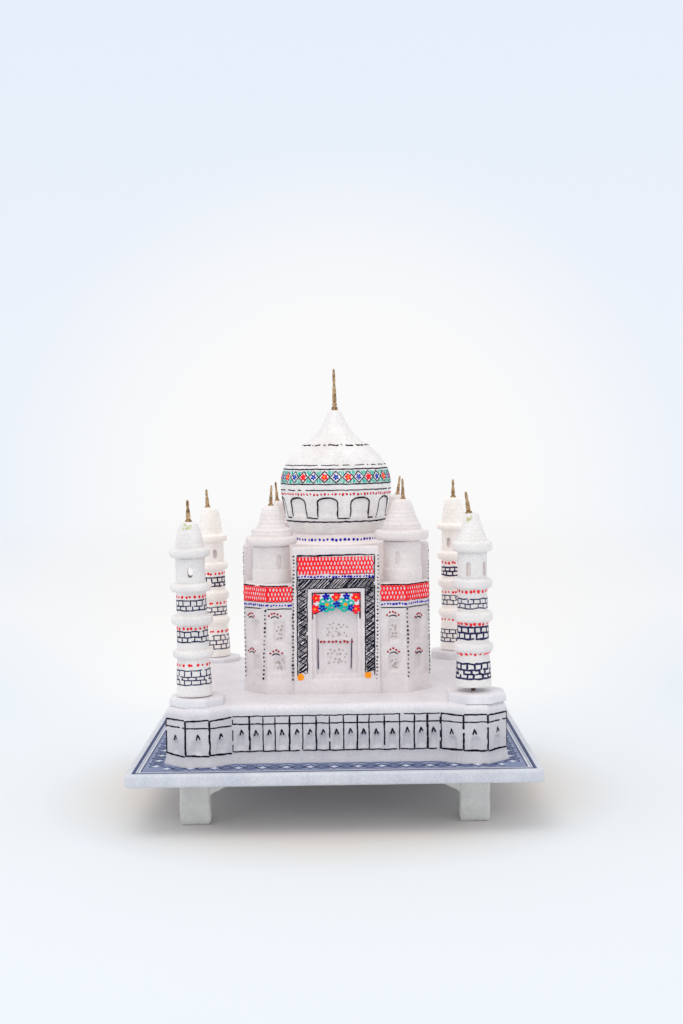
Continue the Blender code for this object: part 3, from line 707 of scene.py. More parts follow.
def build_print():
    """The printed border: dark and white lines, then a blue field with waves, lozenges and rays."""
    pitch, star_line, inner = 11.75, -88.2, 77.6
    bands = (("navy", 98.2, 96.5), ("slate", 95.9, 95.5), ("navy", 94.4, 93.7), ("slate", 93.7, inner))
    for k in range(4):
        top = spot(0, 0, DECK, k * QUARTER) @ Matrix.Rotation(-QUARTER, 4, "X")
        pen = Pen("slab", smooth_flat(top), f"print{k}")
        for colour, far, near in bands:
            pen.patch(colour, ((-far, -far), (far, -far), (near, -near), (-near, -near)), 0.03, 0.1, 1.0)
        for centre, swing, width in ((star_line, 3.9, 1.25), (star_line, -3.9, 1.25), (-81.6, 1.6, 1.0)):
            reach = -centre - abs(swing)
            wave = [(u, centre + swing * math.cos(2 * math.pi * u / pitch))
                    for u in heights(-reach, reach, 1.1)]
            pen.line("navy", wave, width, 0.05, lift=0.045, step=1.2)
        for i in range(15):
            u = (i - 7) * pitch
            lozenge = [(u - 2.5, star_line), (u - 0.8, star_line - 0.8), (u, star_line - 2.3),
                       (u + 0.8, star_line - 0.8), (u + 2.5, star_line), (u + 0.8, star_line + 0.8),
                       (u, star_line + 2.3), (u - 0.8, star_line + 0.8)]
            pen.patch("white", lozenge, 0.06, 0.05, 1.0)
            for level in (-92.3, -83.2):
                if abs(u) < -level - 3:
                    for way in (-1, 1):
                        dash = ((u + way * 0.6, level), (u + way * 2.4, level))
                        pen.line("white", dash, 0.5, 0.05, lift=0.06, step=0.8)
            if i < 14:
                between = u + pitch / 2
                for way in (-1, 0, 1):
                    ray = ((between + 0.5 * way, star_line - 1.9), (between + 1.9 * way, star_line + 2.1))
                    pen.line("navy", ray, 0.55, 0.1, lift=0.055, step=1.0)


def reach_at(z):
    """How far up its curve a foot's bracket has reached, from 0 at the post to 1."""
    if z < 17.0:
        return 0.43 * max(0.0, (z - 14.6) / 2.4) ** 1.6
    return min(1.0, 0.43 + 0.52 * (z - 17.0) / 2.2)


def build_feet():
    for corner, (side_x, side_y) in CORNERS.items():
        node = f"foot_{corner}"
        low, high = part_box(node)
        width, reach = 15.4, 8.1
        half = width / 2
        centre_x = (low.x if side_x < 0 else high.x) - side_x * half * MM
        centre_y = (low.y if side_y < 0 else high.y) - side_y * half * MM
        place = spot(centre_x, centre_y, 0)
        tall = high.z / MM + GLUE_GAP

        def bracket(base, out):
            """The corbel on the two inner sides, and a hand-cut post."""
            inward = max(0.0, -out.x * side_x, -out.y * side_y)
            grow = reach * rise(inward, 0.72, 0.98) * reach_at(base.z)
            lumps = 0.5 * noise.noise(Vector((base.x / 9, base.y / 9, base.z / 7 + 5 * side_x)))
            return -grow - lumps * (1 - rise(base.z, tall - 4, tall))
        layers = [(-1.5, 0.0), (-0.8, 0.25), (-0.3, 1.2), (0.0, 2.6)]
        layers += [(0.0, z) for z in heights(3.6, 14.4, 1.2)] + [(0.0, z) for z in heights(14.8, tall, 0.45)]
        loft(f"{node}_stone", square(half, 1.8), layers, place, FOOT_STONE, "root", node,
             strength=1.6, step=0.8, carve=bracket)


# ---------------------------------------------------------------- terrace

TERRACE_LOW, TERRACE_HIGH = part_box("terrace")
TERRACE_X = (TERRACE_LOW.x + TERRACE_HIGH.x) / 2
TERRACE_TOP = TERRACE_HIGH.z
BASTION_X = 68.5
BASTION_Y = 69.4
BASTION = ((-16.65, 8.9), (-6.05, 16.2), (6.05, 16.2), (16.4, 6.6), (16.4, -6.6), (9.8, -15.6))
WALL = 78.3
WALL_LINES = (23.4, 19.5, 5.9)
BASTION_LINES = (22.9, 19.2, 5.3)
# Where the wall's upright lines are, and how thick; 0 is a dashed one.
WALL_UPRIGHTS = ((-51.7, 0.0), (-43.3, 1.05), (-36.5, 0.62), (-30.6, 0.6), (-23.2, 1.0), (-16.7, 0.62),
                 (-10.1, 0.85), (-3.4, 0.7), (3.6, 0.65), (10.5, 0.8), (16.2, 0.65), (23.9, 0.8),
                 (31.4, 0.65), (38.8, 0.8), (45.2, 1.15), (51.6, 0.0))


def bastion_corner(side_x, side_y):
    """The plan of one corner: from the front or back wall, round the bastion, to the side wall."""
    points = [Vector((side_x * (BASTION_X + x), side_y * (BASTION_Y + y))) for x, y in BASTION]
    return points if side_x * side_y < 0 else points[::-1]


def edge_frame(a, b, x, z):
    """A millimetre frame on the upright face between two plan points, looking outwards."""
    along = b - a
    centre = (a + b) / 2
    turn = Matrix.Rotation(math.atan2(along.y, along.x), 4, "Z")
    return spot(x, 0, z) @ Matrix.Translation((*centre, 0)) @ turn


def arch_mark(pen, u, v, size):
    """A small pointed arch, filled at its top."""
    short = 0.2 + abs(pen.shake(0.8))
    legs = ((u - 0.62 * size, v - size), (u - 0.1 * size, v + size), (u + 0.7 * size, v - short * size))
    pen.line("black", legs, 0.78, 0.1, step=0.5)
    pen.dot("black", u + 0.1, v + 0.35 * size, 0.36 * size, 1.1)


def build_terrace():
    place = spot(TERRACE_X, 0, DECK)
    tall = (TERRACE_TOP - DECK) / MM
    corners = [bastion_corner(*sides) for sides in ((1, -1), (1, 1), (-1, 1), (-1, -1))]
    plan = [p for corner in corners for p in corner]
    scoops = Scoops()
    top_line, second_line, low_line = WALL_LINES
    for k in range(4):
        turn = k * QUARTER
        half = (abs(corners[0][0].x) if k % 2 == 0 else abs(corners[0][-1].y)) - 0.2
        out = Matrix.Rotation(turn, 3, "Z") @ Vector((0, -1, 0))
        wall = spot(TERRACE_X, 0, DECK, turn) @ Matrix.Translation((0, -WALL, 0))
        pen = Pen("terrace", flat(wall), f"wall{k}")
        for line, width, breaks in ((top_line, 0.6, 0.05), (second_line, 0.7, 0.0), (low_line, 0.68, 0.12)):
            pen.line("black", ((-half, line), (half, line + 0.3)), width, 0.35, breaks)
        for u, width in WALL_UPRIGHTS:
            reach = u * half / 51.65
            head = (reach, top_line + pen.shake(0.4))
            foot = (reach + pen.shake(0.25), low_line - pen.shake(0.5))
            pen.line("black", (head, foot), width or 0.55, 0.22, 0.02 if width else 0.34)
        for (left, _), (right, _) in zip(WALL_UPRIGHTS, WALL_UPRIGHTS[1:]):
            u = (left + right) / 2 * half / 51.65
            arch_mark(pen, u + pen.shake(0.4), 15.4 + pen.shake(0.4), 1.35)
            scoops.add(out, u, 8.0, 14.0, 1.6, 1.15, soft=1.7, sill=1.0, spring=11.5)
    for index, corner in enumerate(corners):
        rise_out = 1.0 if index in (0, 1) else 0.0
        for j, (a, b) in enumerate(zip(corner, corner[1:])):
            face = edge_frame(a, b, TERRACE_X, DECK)
            pen = Pen("terrace", flat(face), f"bastion{index}{j}")
            half = (b - a).length / 2 - 0.2
            lines = [line + rise_out for line in BASTION_LINES]
            for line, width, breaks in zip(lines, (0.85, 0.68, 0.9), (0.0, 0.12, 0.06)):
                ends = ((-half, line + pen.shake(0.3)), (half, line + pen.shake(0.3)))
                pen.line("black", ends, width, 0.25, breaks)
            pen.line("black", ((-half, lines[0]), (-half, lines[2])), 0.9, 0.2, 0.1 + 0.16 * (j % 2))
            arch_mark(pen, pen.shake(0.5), 14.4 + rise_out + pen.shake(0.6), 1.4)
            out = Vector((*(b - a).normalized(), 0)).cross(Vector((0, 0, 1)))
            across = ((a + b) / 2).dot((b - a).normalized())
            scoops.add(out, across, 7.0, 12.5, 2.0, 1.15, soft=2.0, sill=1.2, spring=10.0)
    layers = [(1.3, -GLUE_GAP), (1.2, 0.6), (0.75, 1.6), (0.3, 3.0), (0.0, 4.6)]
    layers += [(0.0, z) for z in heights(5.4, tall - 4.2, 0.85)]
    round_over = 3.6
    for i in range(7):
        angle = QUARTER * i / 6
        layers.append((-round_over * (1 - math.cos(angle)), tall - round_over * (1 - math.sin(angle))))
    layers.append((-round_over - 1.5, tall))
    loft("terrace_stone_block", plan, layers, place, TERRACE_STONE, "root", "terrace",
         strength=1.0, step=0.85, carve=scoops.depth)


def build_pedestals():
    for corner in CORNERS:
        node = f"pedestal_{corner}"
        centre = middle(node)
        low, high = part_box(node)
        place = spot(centre.x, centre.y, low.z)
        tall = (high.z - low.z) / MM
        flats = (high.x - low.x) / MM / 2
        radius = flats / math.cos(math.pi / 8)
        plan = [Vector((radius * math.cos(a), radius * math.sin(a))) for a in
                [math.pi / 8 + EIGHTH * i for i in range(8)]]
        edge = 1.1
        layers = [(0.1, -GLUE_GAP), (0.1, 0.5), (0.0, tall / 2), (0.0, tall - edge), (-0.2, tall - 0.45),
                  (-0.6, tall - 0.1), (-edge, tall), (-edge - 1.0, tall)]
        loft(f"{node}_stone", plan, layers, place, TERRACE_STONE, "root", node, strength=1.3)


# ---------------------------------------------------------------- hall and portals

HALL_LOW, HALL_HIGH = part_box("hall")
HALL_X = (HALL_LOW.x + HALL_HIGH.x) / 2
HALL_HALF = (HALL_HIGH.x - HALL_LOW.x) / 2 / MM
ROOF = HALL_HIGH.z
HALL_CHAMFER = 12.4
PORTAL_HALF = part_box("portal_right")[1].x / MM - HALL_X / MM
PORTAL_WIDTH = (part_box("portal_front")[1].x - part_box("portal_front")[0].x) / MM
PORTAL_TALL = (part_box("portal_front")[1].z - TERRACE_TOP) / MM
PORTAL_THICK = 7.0
NOTCH = PORTAL_THICK - 0.4 - (PORTAL_HALF - HALL_HALF)     # the hall is cut this far in behind each portal
NICHE_OFFSET = 29.6
NICHE_LEVELS = ((12.0, 19.4), (27.2, 37.8))
CHAMFER_BROWS = ((0.5, 2.0), (-1.4, 0.5), (-2.0, 0.5), (-3.4, 1.0))      # how far they slip aside and down
DECK_TO_HALL = (TERRACE_TOP - DECK) / MM     # pen heights are kept from the slab's top


NET = 4.5                     # height of a mesh of the red net


def fishnet(pen, left, right, low, high, pitch, width, fade=0.0):
    """Red net: upright waves whose bends meet, heavier at the left."""
    count = round((right - left) / pitch)
    for i in range(count + 1):
        u0 = left + (right - left) * i / count
        heavy = width * (1.15 - fade * i / count + pen.shake(0.12))
        drop = pen.shake(0.4)
        points = [(u0 + pitch * 0.5 * math.cos(2 * math.pi * v / NET + math.pi * i), v)
                  for v in heights(low + drop, high, 0.75)]
        pen.line("red", points, heavy, 0.1, step=0.9)


def hatch(pen, left, right, low, high, pitch, slant, width):
    """Slanted strokes that fill a box."""
    run = slant * (high - low)
    wide = right - left
    if wide > high - low:
        count = round((wide + run) / pitch)
        for i in range(count + 1):
            start = left - run + (wide + run) * i / count + pen.shake(0.25)
            enter, leave = max(0.0, (left - start) / run), min(1.0, (right - start) / run)
            if leave - enter > 0.12:
                ends = [(start + run * share, low + (high - low) * share) for share in (enter, leave)]
                pen.line("black", ends, width * (1 + pen.shake(0.35)), 0.2, 0.03, step=0.9)
        return
    count = round((high - low) / pitch)
    for i in range(count + 1):
        v = low + (high - low) * i / count + pen.shake(0.25)
        rise_v = wide * 0.75
        pen.line("black", ((left + pen.shake(0.3), max(low, v - rise_v / 2)),
                           (right + pen.shake(0.3), min(high, v + rise_v / 2))),
                 width * (1 + pen.shake(0.4)), 0.25, 0.03, step=0.9)
    for i in range(round((high - low) / 3.2)):
        v = low + 1.5 + 3.2 * i + pen.shake(0.8)
        crossing = ((right - pen.shake(0.5), v - 1.2), (left + pen.shake(0.5), v + 1.2))
        pen.line("black", crossing, width, 0.2, 0.0, step=0.9)


def niche_marks(pen, u, top, size=1.0):
    """A brow over a niche: a black arc with red dots above it."""
    arc = [(u + 2.1 * size * x, top + 1.9 + 0.9 * (1 - x * x)) for x in (-1, -0.6, -0.2, 0.2, 0.6, 1)]
    pen.line("black", [(x + pen.shake(0.15), y) for x, y in arc], 0.62, 0.12, step=0.6)
    count = 5
    for i in range(count):
        x = -1 + 2 * i / (count - 1)
        dot_u = u + 2.9 * size * x + pen.shake(0.2)
        dot_v = top + 3.0 + 1.5 * (1 - x * x) + pen.shake(0.25)
        pen.dot("berry", dot_u, dot_v, 0.72)


def drilled(pen, u, low, high, wide, rows, per_row, depth):
    """Brown dots of painted shade that stand for the small drill holes of a pierced screen; no hole is cut.
    """
    for r in range(rows):
        v = low + (high - low) * (r + 0.5) / rows
        for i in range(per_row - r % 2):
            x = u + wide * ((i + 0.5 + 0.5 * (r % 2)) / per_row - 0.5)
            hole = (x + pen.shake(0.7), v + pen.shake(0.6), 0.42 + abs(pen.shake(0.22)))
            pen.dot("brown", *hole, lift=-depth + 0.27)


def hall_side(pen, sign):
    """The wing beside a portal, and what is drawn on it, from the portal to the chamfer."""
    inner, outer = PORTAL_WIDTH / 2 + 0.7, HALL_HALF - HALL_CHAMFER - 0.1
    left, right = (inner, outer) if sign > 0 else (-outer, -inner)
    base = DECK_TO_HALL
    for height, width, breaks in ((84.9, 0.65, 0.12), (76.7, 0.4, 0.1), (73.1, 0.55, 0.06)):
        pen.line("black", ((left, height - base), (right, height - base + 0.1)), width, 0.2, breaks)
    fishnet(pen, left + 0.5, right - 0.2, 76.7 - base, 84.8 - base, 0.86, 0.76, 0.15)
    pen.dots("blue", left + 0.6, right - 0.4, 75.0 - base, 1.6, 0.68, 1.1)
    slip = -1.3 if sign < 0 else 1.0
    lean = -1.5 if sign < 0 else 0.4
    edge = sign * (HALL_HALF - HALL_CHAMFER - 0.5) + slip
    pen.column("black", edge, 72.2 - base, 37.2 - base, 2.15, 0.52, lean)
    for (low, high), brow, drop in zip(NICHE_LEVELS, (-1.9, -2.3), (1.2, 0.4)):
        u = sign * NICHE_OFFSET
        niche_marks(pen, u + (brow if sign < 0 else -0.5), high - drop)
        drilled(pen, u, low + 0.6, high - 1.8, 4.2, 4, 3, 1.25)


def hall_corner(pen, slip, drop):
    half = HALL_CHAMFER / math.sqrt(2)
    base = DECK_TO_HALL
    for height, width, breaks in ((84.9, 0.65, 0.12), (76.7, 0.4, 0.1), (73.1, 0.55, 0.06)):
        pen.line("black", ((-half, height - base), (half, height - base + 0.1)), width, 0.2, breaks)
    fishnet(pen, -half + 0.3, half - 0.3, 76.7 - base, 84.8 - base, 0.86, 0.76, 0.15)
    pen.dots("blue", -half + 0.5, half - 0.5, 75.0 - base, 1.6, 0.68, 1.1)
    for _, high in NICHE_LEVELS:
        niche_marks(pen, slip, high - drop, 0.85)


def build_hall():
    place = spot(HALL_X, 0, TERRACE_TOP)
    tall = (ROOF - TERRACE_TOP) / MM
    flat_half = HALL_HALF - HALL_CHAMFER
    plan = []
    scoops = Scoops()
    chamfer_face = math.sqrt(2) * (HALL_HALF - HALL_CHAMFER / 2)
    for k in range(4):
        turn = k * QUARTER
        spin = Matrix.Rotation(turn, 2)
        plan += [spin @ Vector((-flat_half, -HALL_HALF)), spin @ Vector((flat_half, -HALL_HALF))]
        out = Matrix.Rotation(turn, 3, "Z") @ Vector((0, -1, 0))
        corner_out = Matrix.Rotation(turn + EIGHTH, 3, "Z") @ Vector((0, -1, 0))
        for low, high in NICHE_LEVELS:
            for sign in (-1, 1):
                scoops.add(out, sign * NICHE_OFFSET, low, high, 2.8, 1.3, soft=1.6, sill=1.5,
                           spring=high - 1.8)
            scoops.add(corner_out, 0, low, high, 2.6, 1.6, soft=1.7, sill=1.5, spring=high - 1.8)
        wall = place @ Matrix.Rotation(turn, 4, "Z") @ Matrix.Translation((0, -HALL_HALF, 0))
        pen = Pen("hall", flat(wall), f"hall{k}")
        for sign in (-1, 1):
            hall_side(pen, sign)
        chamfer = place @ Matrix.Rotation(turn + EIGHTH, 4, "Z") @ Matrix.Translation((0, -chamfer_face, 0))
        hall_corner(Pen("hall", flat(chamfer), f"chamfer{k}"), *CHAMFER_BROWS[k])
    def carved(base, out):
        """The niches, and the notches that the portals stand in."""
        across = base.x if abs(out.y) > 0.99 else base.y
        behind_portal = max(abs(out.x), abs(out.y)) > 0.99 and abs(across) < PORTAL_WIDTH / 2 - 0.6
        return scoops.depth(base, out) + (NOTCH if behind_portal else 0.0)

    plinth = 7.5
    layers = [(0.75, -GLUE_GAP), (0.7, 0.5), (0.45, 2.5), (0.4, plinth - 0.7), (0.1, plinth)]
    layers += [(0.0, z) for z in heights(plinth + 0.8, tall - 1.4, 0.8)]
    layers += [(-0.15, tall - 0.6), (-0.5, tall - 0.15), (-1.2, tall), (-2.2, tall)]
    loft("hall_stone_block", plan, layers, place, HALL_STONE, "root", "hall", step=0.85,
         carve=carved)


RECESS = (25.7, 7.6, 52.6, 1.2)          # width, bottom, top and depth
DOOR = (21.6, 41.9, 46.0, 4.2)           # width, springing, top and depth
SCREEN = (15.0, 8.3, 26.0)               # lower screen's width, bottom and top
FRAME_OUT = 19.9                         # half of the black frame
FRAME_IN = 15.0


def panel_flowers(pen, top, low, half, depth):
    """Flowers over the doorway: red at the corners, two teal rosettes, blue between."""
    lift = INK_LIFT - depth + 0.4
    high_row, low_row = top - 2.2, low + 2.9
    for u, v in ((-half + 2.0, high_row), (half - 2.2, high_row + 0.3), (0, high_row + 0.3),
                 (-half + 1.4, low_row), (half - 2.4, low_row)):
        pen.petals("red", u, v, 5, 1.3, 1.05, pen.shake(1), lift)
        pen.dot("orange", u, v, 0.8, lift=lift + 0.03)
    for side in (-1, 1):
        u0, v0 = side * 4.7, (top + low) / 2 - 0.2
        for i in range(6):
            angle = 2 * math.pi * i / 6 + 0.3
            u, v = u0 + 3.0 * math.cos(angle), v0 + 2.4 * math.sin(angle)
            ring = [(u + 1.35 * math.cos(t) * (1 + 0.1 * pen.shake(1)), v + 1.2 * math.sin(t))
                    for t in [2 * math.pi * s / 9 for s in range(10)]]
            pen.line("teal", ring, 0.95, 0.1, lift=lift, step=0.7)
        pen.dot("orange", u0, v0, 1.05, lift=lift + 0.04)
        for u, v in ((side * 5.3, high_row + 0.6), (side * 7.4, low_row + 0.6)):
            pen.petals("blue", u, v, 5, 1.1, 0.7, pen.shake(1), lift + 0.04)
    pen.petals("blue", 0.2, (top + low) / 2 - 0.1, 5, 1.1, 0.7, 0.4, lift + 0.04)


def frame_marks(pen):
    """The dotted, hatched and netted frame round a portal's recess."""
    base = DECK_TO_HALL
    frame_top, net_low, dots_at = 100.4 - base, 90.8 - base, 89.7 - base
    band_top, band_low, legs_low = 88.4 - base, 83.6 - base, 39.9 - base
    out, inn = FRAME_OUT, FRAME_IN
    for side in (-1, 1):
        dotted_at = side * 21.3 - 0.3 + (0.9 if side > 0 else 0.0)
        pen.column("black", dotted_at, frame_top, 36.6 - base, 1.9, 0.55, -1.5)
        pen.line("black", ((side * out, frame_top), (side * out - 0.6, legs_low - 1.5)), 0.62, 0.2, 0.03)
        pen.line("black", ((side * inn, band_low), (side * inn - 0.45, legs_low)), 0.62, 0.25, 0.03)
        a, b = sorted((side * out, side * inn))
        hatch(pen, a, b - 0.5, legs_low, band_low + 0.5, 0.75, 1.0, 0.46)
        pen.dot("orange", side * 17.4 - 1.5, 38.1 + 0.3 * side - base, 2.2, lift=INK_LIFT + 0.06)
    for _ in range(2):
        pen.line("black", ((-out - 0.2, frame_top + pen.shake(0.25)), (out + 0.3, frame_top + 0.5)), 0.5, 0.4)
    pen.line("black", ((-out, band_top), (out, band_top + 0.3)), 0.6, 0.25)
    pen.line("black", ((-inn, band_low), (inn, band_low + 0.2)), 0.55, 0.3)
    pen.line("black", ((-3, net_low + 0.2), (out - 0.4, net_low + 0.5)), 0.4, 0.2)
    fishnet(pen, -out + 0.9, out - 1.0, net_low, frame_top - 0.5, 0.86, 0.82, 0.30)
    pen.dots("blue", -out + 1.0, out - 0.9, dots_at, 1.6, 0.68, 1.1)
    hatch(pen, -out + 0.3, out - 0.3, band_low, band_top, 0.75, 1.0, 0.46)


def recess_marks(pen):
    """The panel over the doorway, its flowers and the lines round them; pale strokes over the panel are
    painted light against the recess's shade.
    """
    width, _, top, depth = RECESS
    door_width, spring, apex, _ = DOOR
    half = width / 2
    lift = INK_LIFT - depth + 0.28
    # Rows of pale strokes: painted light laid over the shaded panel.
    for v in heights(spring + 0.6, top - 1.3, 0.8):
        open_half = 0.0
        if v < apex:
            open_half = door_width / 2 * (1 - (v - spring) / (apex - spring)) ** 0.7
        for side in (-1, 1):
            pen.line("light", ((side * open_half, v), (side * (half - 0.9), v)), 0.8, 0.0, lift=lift - 0.15)
    pen.line("black", ((-half + 0.5, top - 0.5), (half - 0.6, top - 0.5)), 0.6, 0.2, lift=lift)
    for side in (-1, 1):
        upright = ((side * (half - 0.5), top - 0.4), (side * (half - 0.6) - 0.2, top - 14.0))
        pen.line("black", upright, 0.6, 0.2, lift=lift)
    panel_flowers(pen, top - 0.8, spring - 1.0, half - 0.4, depth)
    for side in (-1, 1):
        arch = ((side * (half - 1.6), spring - 0.7), (side * half * 0.45, spring + 2.2), (0, apex + 0.4))
        pen.line("black", arch, 0.5, 0.2, lift=lift)


def screen_marks(pen):
    """What is drawn and drilled on the screens at the back of the doorway."""
    _, screen_low, screen_top = SCREEN
    upper_low = 28.6
    back = DOOR[3]
    lift = INK_LIFT - back + 0.95
    drilled(pen, 0, upper_low, upper_low + 8.0, 11.5, 4, 5, back)
    drilled(pen, 0, screen_low + 6.2, screen_top - 2.8, 11.5, 4, 5, back)
    for i in range(9):
        u = -8.2 + 15.6 * i / 8 + pen.shake(0.4)
        pen.dot("berry", u, screen_top + 0.4 + pen.shake(0.25), 0.66, lift=lift)
    for top_u, low_u in ((-9.7, -9.8), (7.7, 7.1)):
        pen.line("night", ((top_u, screen_top + 2.2), (low_u, screen_low + 4)), 0.4, 0.2, lift=lift)


def portal_marks(pen):
    frame_marks(pen)
    recess_marks(pen)
    screen_marks(pen)


def build_portals():
    width, low, top, depth = RECESS
    door_width, spring, apex, door_depth = DOOR
    for k, face in enumerate(FACES):
        node = f"portal_{face}"
        thick = PORTAL_THICK
        side = spot(HALL_X, 0, TERRACE_TOP, k * QUARTER)
        place = side @ Matrix.Translation((0, -PORTAL_HALF + thick / 2, 0))
        half, deep = PORTAL_WIDTH / 2, thick / 2
        plan = [Vector(p) for p in ((-half, -deep), (half, -deep), (half, deep), (-half, deep))]

        def sunk(base, out):
            """The shallow recess, the doorway in it and the lower screen's frame."""
            if out.y > -0.9:
                return 0.0
            x, z = abs(base.x), base.z
            recess = depth * rise(width / 2 - x, -0.2, 0.5) * rise(z, low - 0.8, low + 0.4)
            recess *= 1 - rise(z, top - 0.2, top + 0.5)
            roof = spring + (apex - spring) * max(0.0, 1 - (2 * x / door_width) ** 1.4)
            door = rise(door_width / 2 - x, -0.2, 0.6) * rise(z, low + 1.6, low + 2.8)
            door *= 1 - rise(z, roof - 0.3, roof + 0.5)
            screen_half, screen_top = SCREEN[0] / 2, SCREEN[2]
            frame_part = rise(x, screen_half - 0.3, screen_half + 0.4) + rise(z, screen_top, screen_top + 0.8)
            frame_part *= 1 - rise(z, screen_top + 1.6, screen_top + 2.4)
            raised = 0.6 * door * min(1.0, frame_part) if z < screen_top + 2.4 else 0.0
            return recess + (door_depth - depth) * door - raised
        tall = PORTAL_TALL
        layers = [(0.3, -GLUE_GAP), (0.25, 0.6), (0.15, 6.6), (0.0, 7.3)]
        layers += [(0.0, z) for z in heights(7.9, tall - 1.2, 0.62)]
        layers += [(-0.12, tall - 0.6), (-0.45, tall - 0.12), (-0.9, tall), (-1.6, tall)]
        loft(f"{node}_stone", plan, layers, place, PORTAL_STONE, "root", node, step=0.6,
             carve=sunk)
        face_place = side @ Matrix.Translation((0, -PORTAL_HALF, 0))
        portal_marks(Pen("hall", flat(face_place), f"portal{k}"))


# ---------------------------------------------------------------- drum, dome and roof kiosks

def ring_outline(inner, outer, top, bottom, below):
    """A thick moulding with a rounded rim, from its top to its bottom."""
    thick = top - bottom
    return [(inner, top + 0.3), (inner + 0.3, top), (outer - 1.0, top - 0.15), (outer - 0.25, top - 0.7),
            (outer, top - 1.5), (outer, top - 0.6 * thick), (outer - 0.2, bottom + 1.3),
            (outer - 0.75, bottom + 0.55), (below + 0.7, bottom + 0.2), (below, bottom - 0.25)]


def build_drum():
    centre = middle("drum")
    place = spot(centre.x, centre.y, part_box("drum")[0].z)
    outline = [(0, 23.2), (24.0, 23.2), (24.0, 19.2), (24.6, 18.9), (26.4, 18.5), (26.8, 17.8), (26.4, 16.6),
               (26.1, 14.6), (26.0, 13.8), (26.0, 0), (26.0, -GLUE_GAP), (0, -GLUE_GAP)]
    lathe("drum_stone", outline, 128, place, DRUM_STONE, "root", "drum")
    pen = Pen("drum", round_face(place, radius_on(outline), 24.0), "drum")
    around = 2 * math.pi * 24.0
    pen.dots("blue", 0, around * 0.985, 20.4, 2.3, 0.85, 1.0)


DOME_ARCHES = 10
DOME_ARCH_PHASE = math.radians(-9.0)
DOME_GEMS = 30
DOME_OUTLINE_TOP = ((2.3, 66.1), (3.5, 65.2), (5.0, 62.1), (7.5, 57.3), (11.4, 52.2), (14.6, 49.5),
                    (18.5, 47.0), (22.9, 42.9), (26.0, 39.2), (28.2, 35.2), (29.7, 30.4), (30.2, 24.7))
DOME_BELLY = ((29.7, 19.5), (28.2, 11.9), (26.7, 5.5), (25.3, 0.6), (24.2, 0.0))
# The dome's lines: height above the slab, width, how far they wander and how often they break.
DOME_LINES = ((157.0, 0.7, 0.5, 0.25), (146.5, 0.45, 0.3, 0.35), (144.4, 0.7, 0.3, 0.0),
              (136.5, 0.7, 0.3, 0.0), (133.3, 0.6, 0.3, 0.22), (116.4, 0.8, 0.35, 0.0))


def build_dome():
    centre = middle("dome")
    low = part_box("dome")[0]
    place = spot(centre.x, centre.y, low.z)
    outline = [(0, 66.1)] + list(DOME_OUTLINE_TOP) + list(DOME_BELLY) + [(23.6, -0.3), (0, -0.3)]
    deck = (low.z - DECK) / MM
    arch_low, arch_spring, arch_top = 118.9 - deck, 126.6 - deck, 129.3 - deck
    arch_half = 5.2

    def arches(angle, z):
        """Blind arches scooped round the belly."""
        if not arch_low - 1 < z < arch_top + 1:
            return 0.0
        pitch = 2 * math.pi / DOME_ARCHES
        off = (angle - DOME_ARCH_PHASE + pitch / 2) % pitch - pitch / 2
        across = abs(off) * 28.5
        width = arch_half
        if z > arch_spring:
            width *= math.sqrt(max(0.0, 1 - ((z - arch_spring) / (arch_top + 0.4 - arch_spring)) ** 2))
        return 0.8 * rise(width - across, -0.2, 1.0) * rise(z, arch_low - 0.2, arch_low + 2.2)
    lathe("dome_stone", outline, 180, place, DOME_STONE, "root", "dome", strength=1.4,
          carve=arches)
    reference = 29.3
    pen = Pen("dome", round_face(place, radius_on(outline), reference), "dome")
    around = 2 * math.pi * reference
    for height, width, wander, breaks in DOME_LINES:
        v = height - deck
        pen.line("black", [(around * i / 60, v) for i in range(61)], width, wander, breaks, step=1.2)
    pen.dots("berry", 0, around * 0.99, 131.1 - deck, 1.95, 0.78, 0.9)
    pen.dots("red", 0, around * 0.99, 131.3 - deck, 1.95, 0.5, 0.9, lift=INK_LIFT + 0.04)
    gem_high, gem_low = 143.3 - deck, 137.2 - deck
    gem_mid = (gem_high + gem_low) / 2
    pitch = around / DOME_GEMS
    for i in range(DOME_GEMS):
        u = math.radians(0.6) * reference + pitch * i + pen.shake(0.25)
        left, right = u - pitch / 2, u + pitch / 2
        width = 0.58
        pen.line("black", ((left, gem_mid), (u, gem_high), (right, gem_mid)), width, 0.2, step=0.8)
        pen.line("black", ((left, gem_mid), (u, gem_low), (right, gem_mid)), width, 0.2, step=0.8)
        for j in range(6):
            x = left + pen.shake(0.3) + (j - 2.5) * 0.7
            reach = (gem_high - gem_mid) * (0.9 - abs(j - 2.5) * 0.25)
            for way in (1, -1):
                end = gem_mid + way * (gem_high - gem_mid) * (1.05 + pen.shake(0.12))
                pen.line("teal", ((x, end), (x + pen.shake(0.3), end - way * reach)), 0.5, 0.1, step=0.8)
        if i % 2:
            pen.petals("red", u, gem_mid, 5, 1.05, 0.8, pen.shake(1), INK_LIFT + 0.02)
            pen.dot("orange" if i % 4 == 1 else "red", u, gem_mid, 0.8, lift=INK_LIFT + 0.05)
        else:
            pen.petals("blue", u, gem_mid, 5, 0.95, 0.6, pen.shake(1), INK_LIFT + 0.02)
            pen.dot("teal", u, gem_mid, 0.4, lift=INK_LIFT + 0.05)
    arch_pitch = around / DOME_ARCHES
    for i in range(DOME_ARCHES):
        u = DOME_ARCH_PHASE * reference + arch_pitch * i
        climb = arch_top - arch_spring
        rounded = [(u + (arch_half + 0.35) * math.cos(a), arch_spring + climb * math.sin(a))
                   for a in [math.pi * s / 8 for s in range(9)]]
        points = [(u + arch_half + 0.5, arch_low - 0.2)] + rounded + [(u - arch_half - 0.5, arch_low + 0.1)]
        pen.line("black", points, 0.72, 0.35, step=0.9)
        between = ((u + arch_half + 0.2, arch_low - 0.4), (u + arch_pitch - arch_half - 0.5, arch_low - 0.6))
        pen.line("black", between, 0.75, 0.3, 0.12)


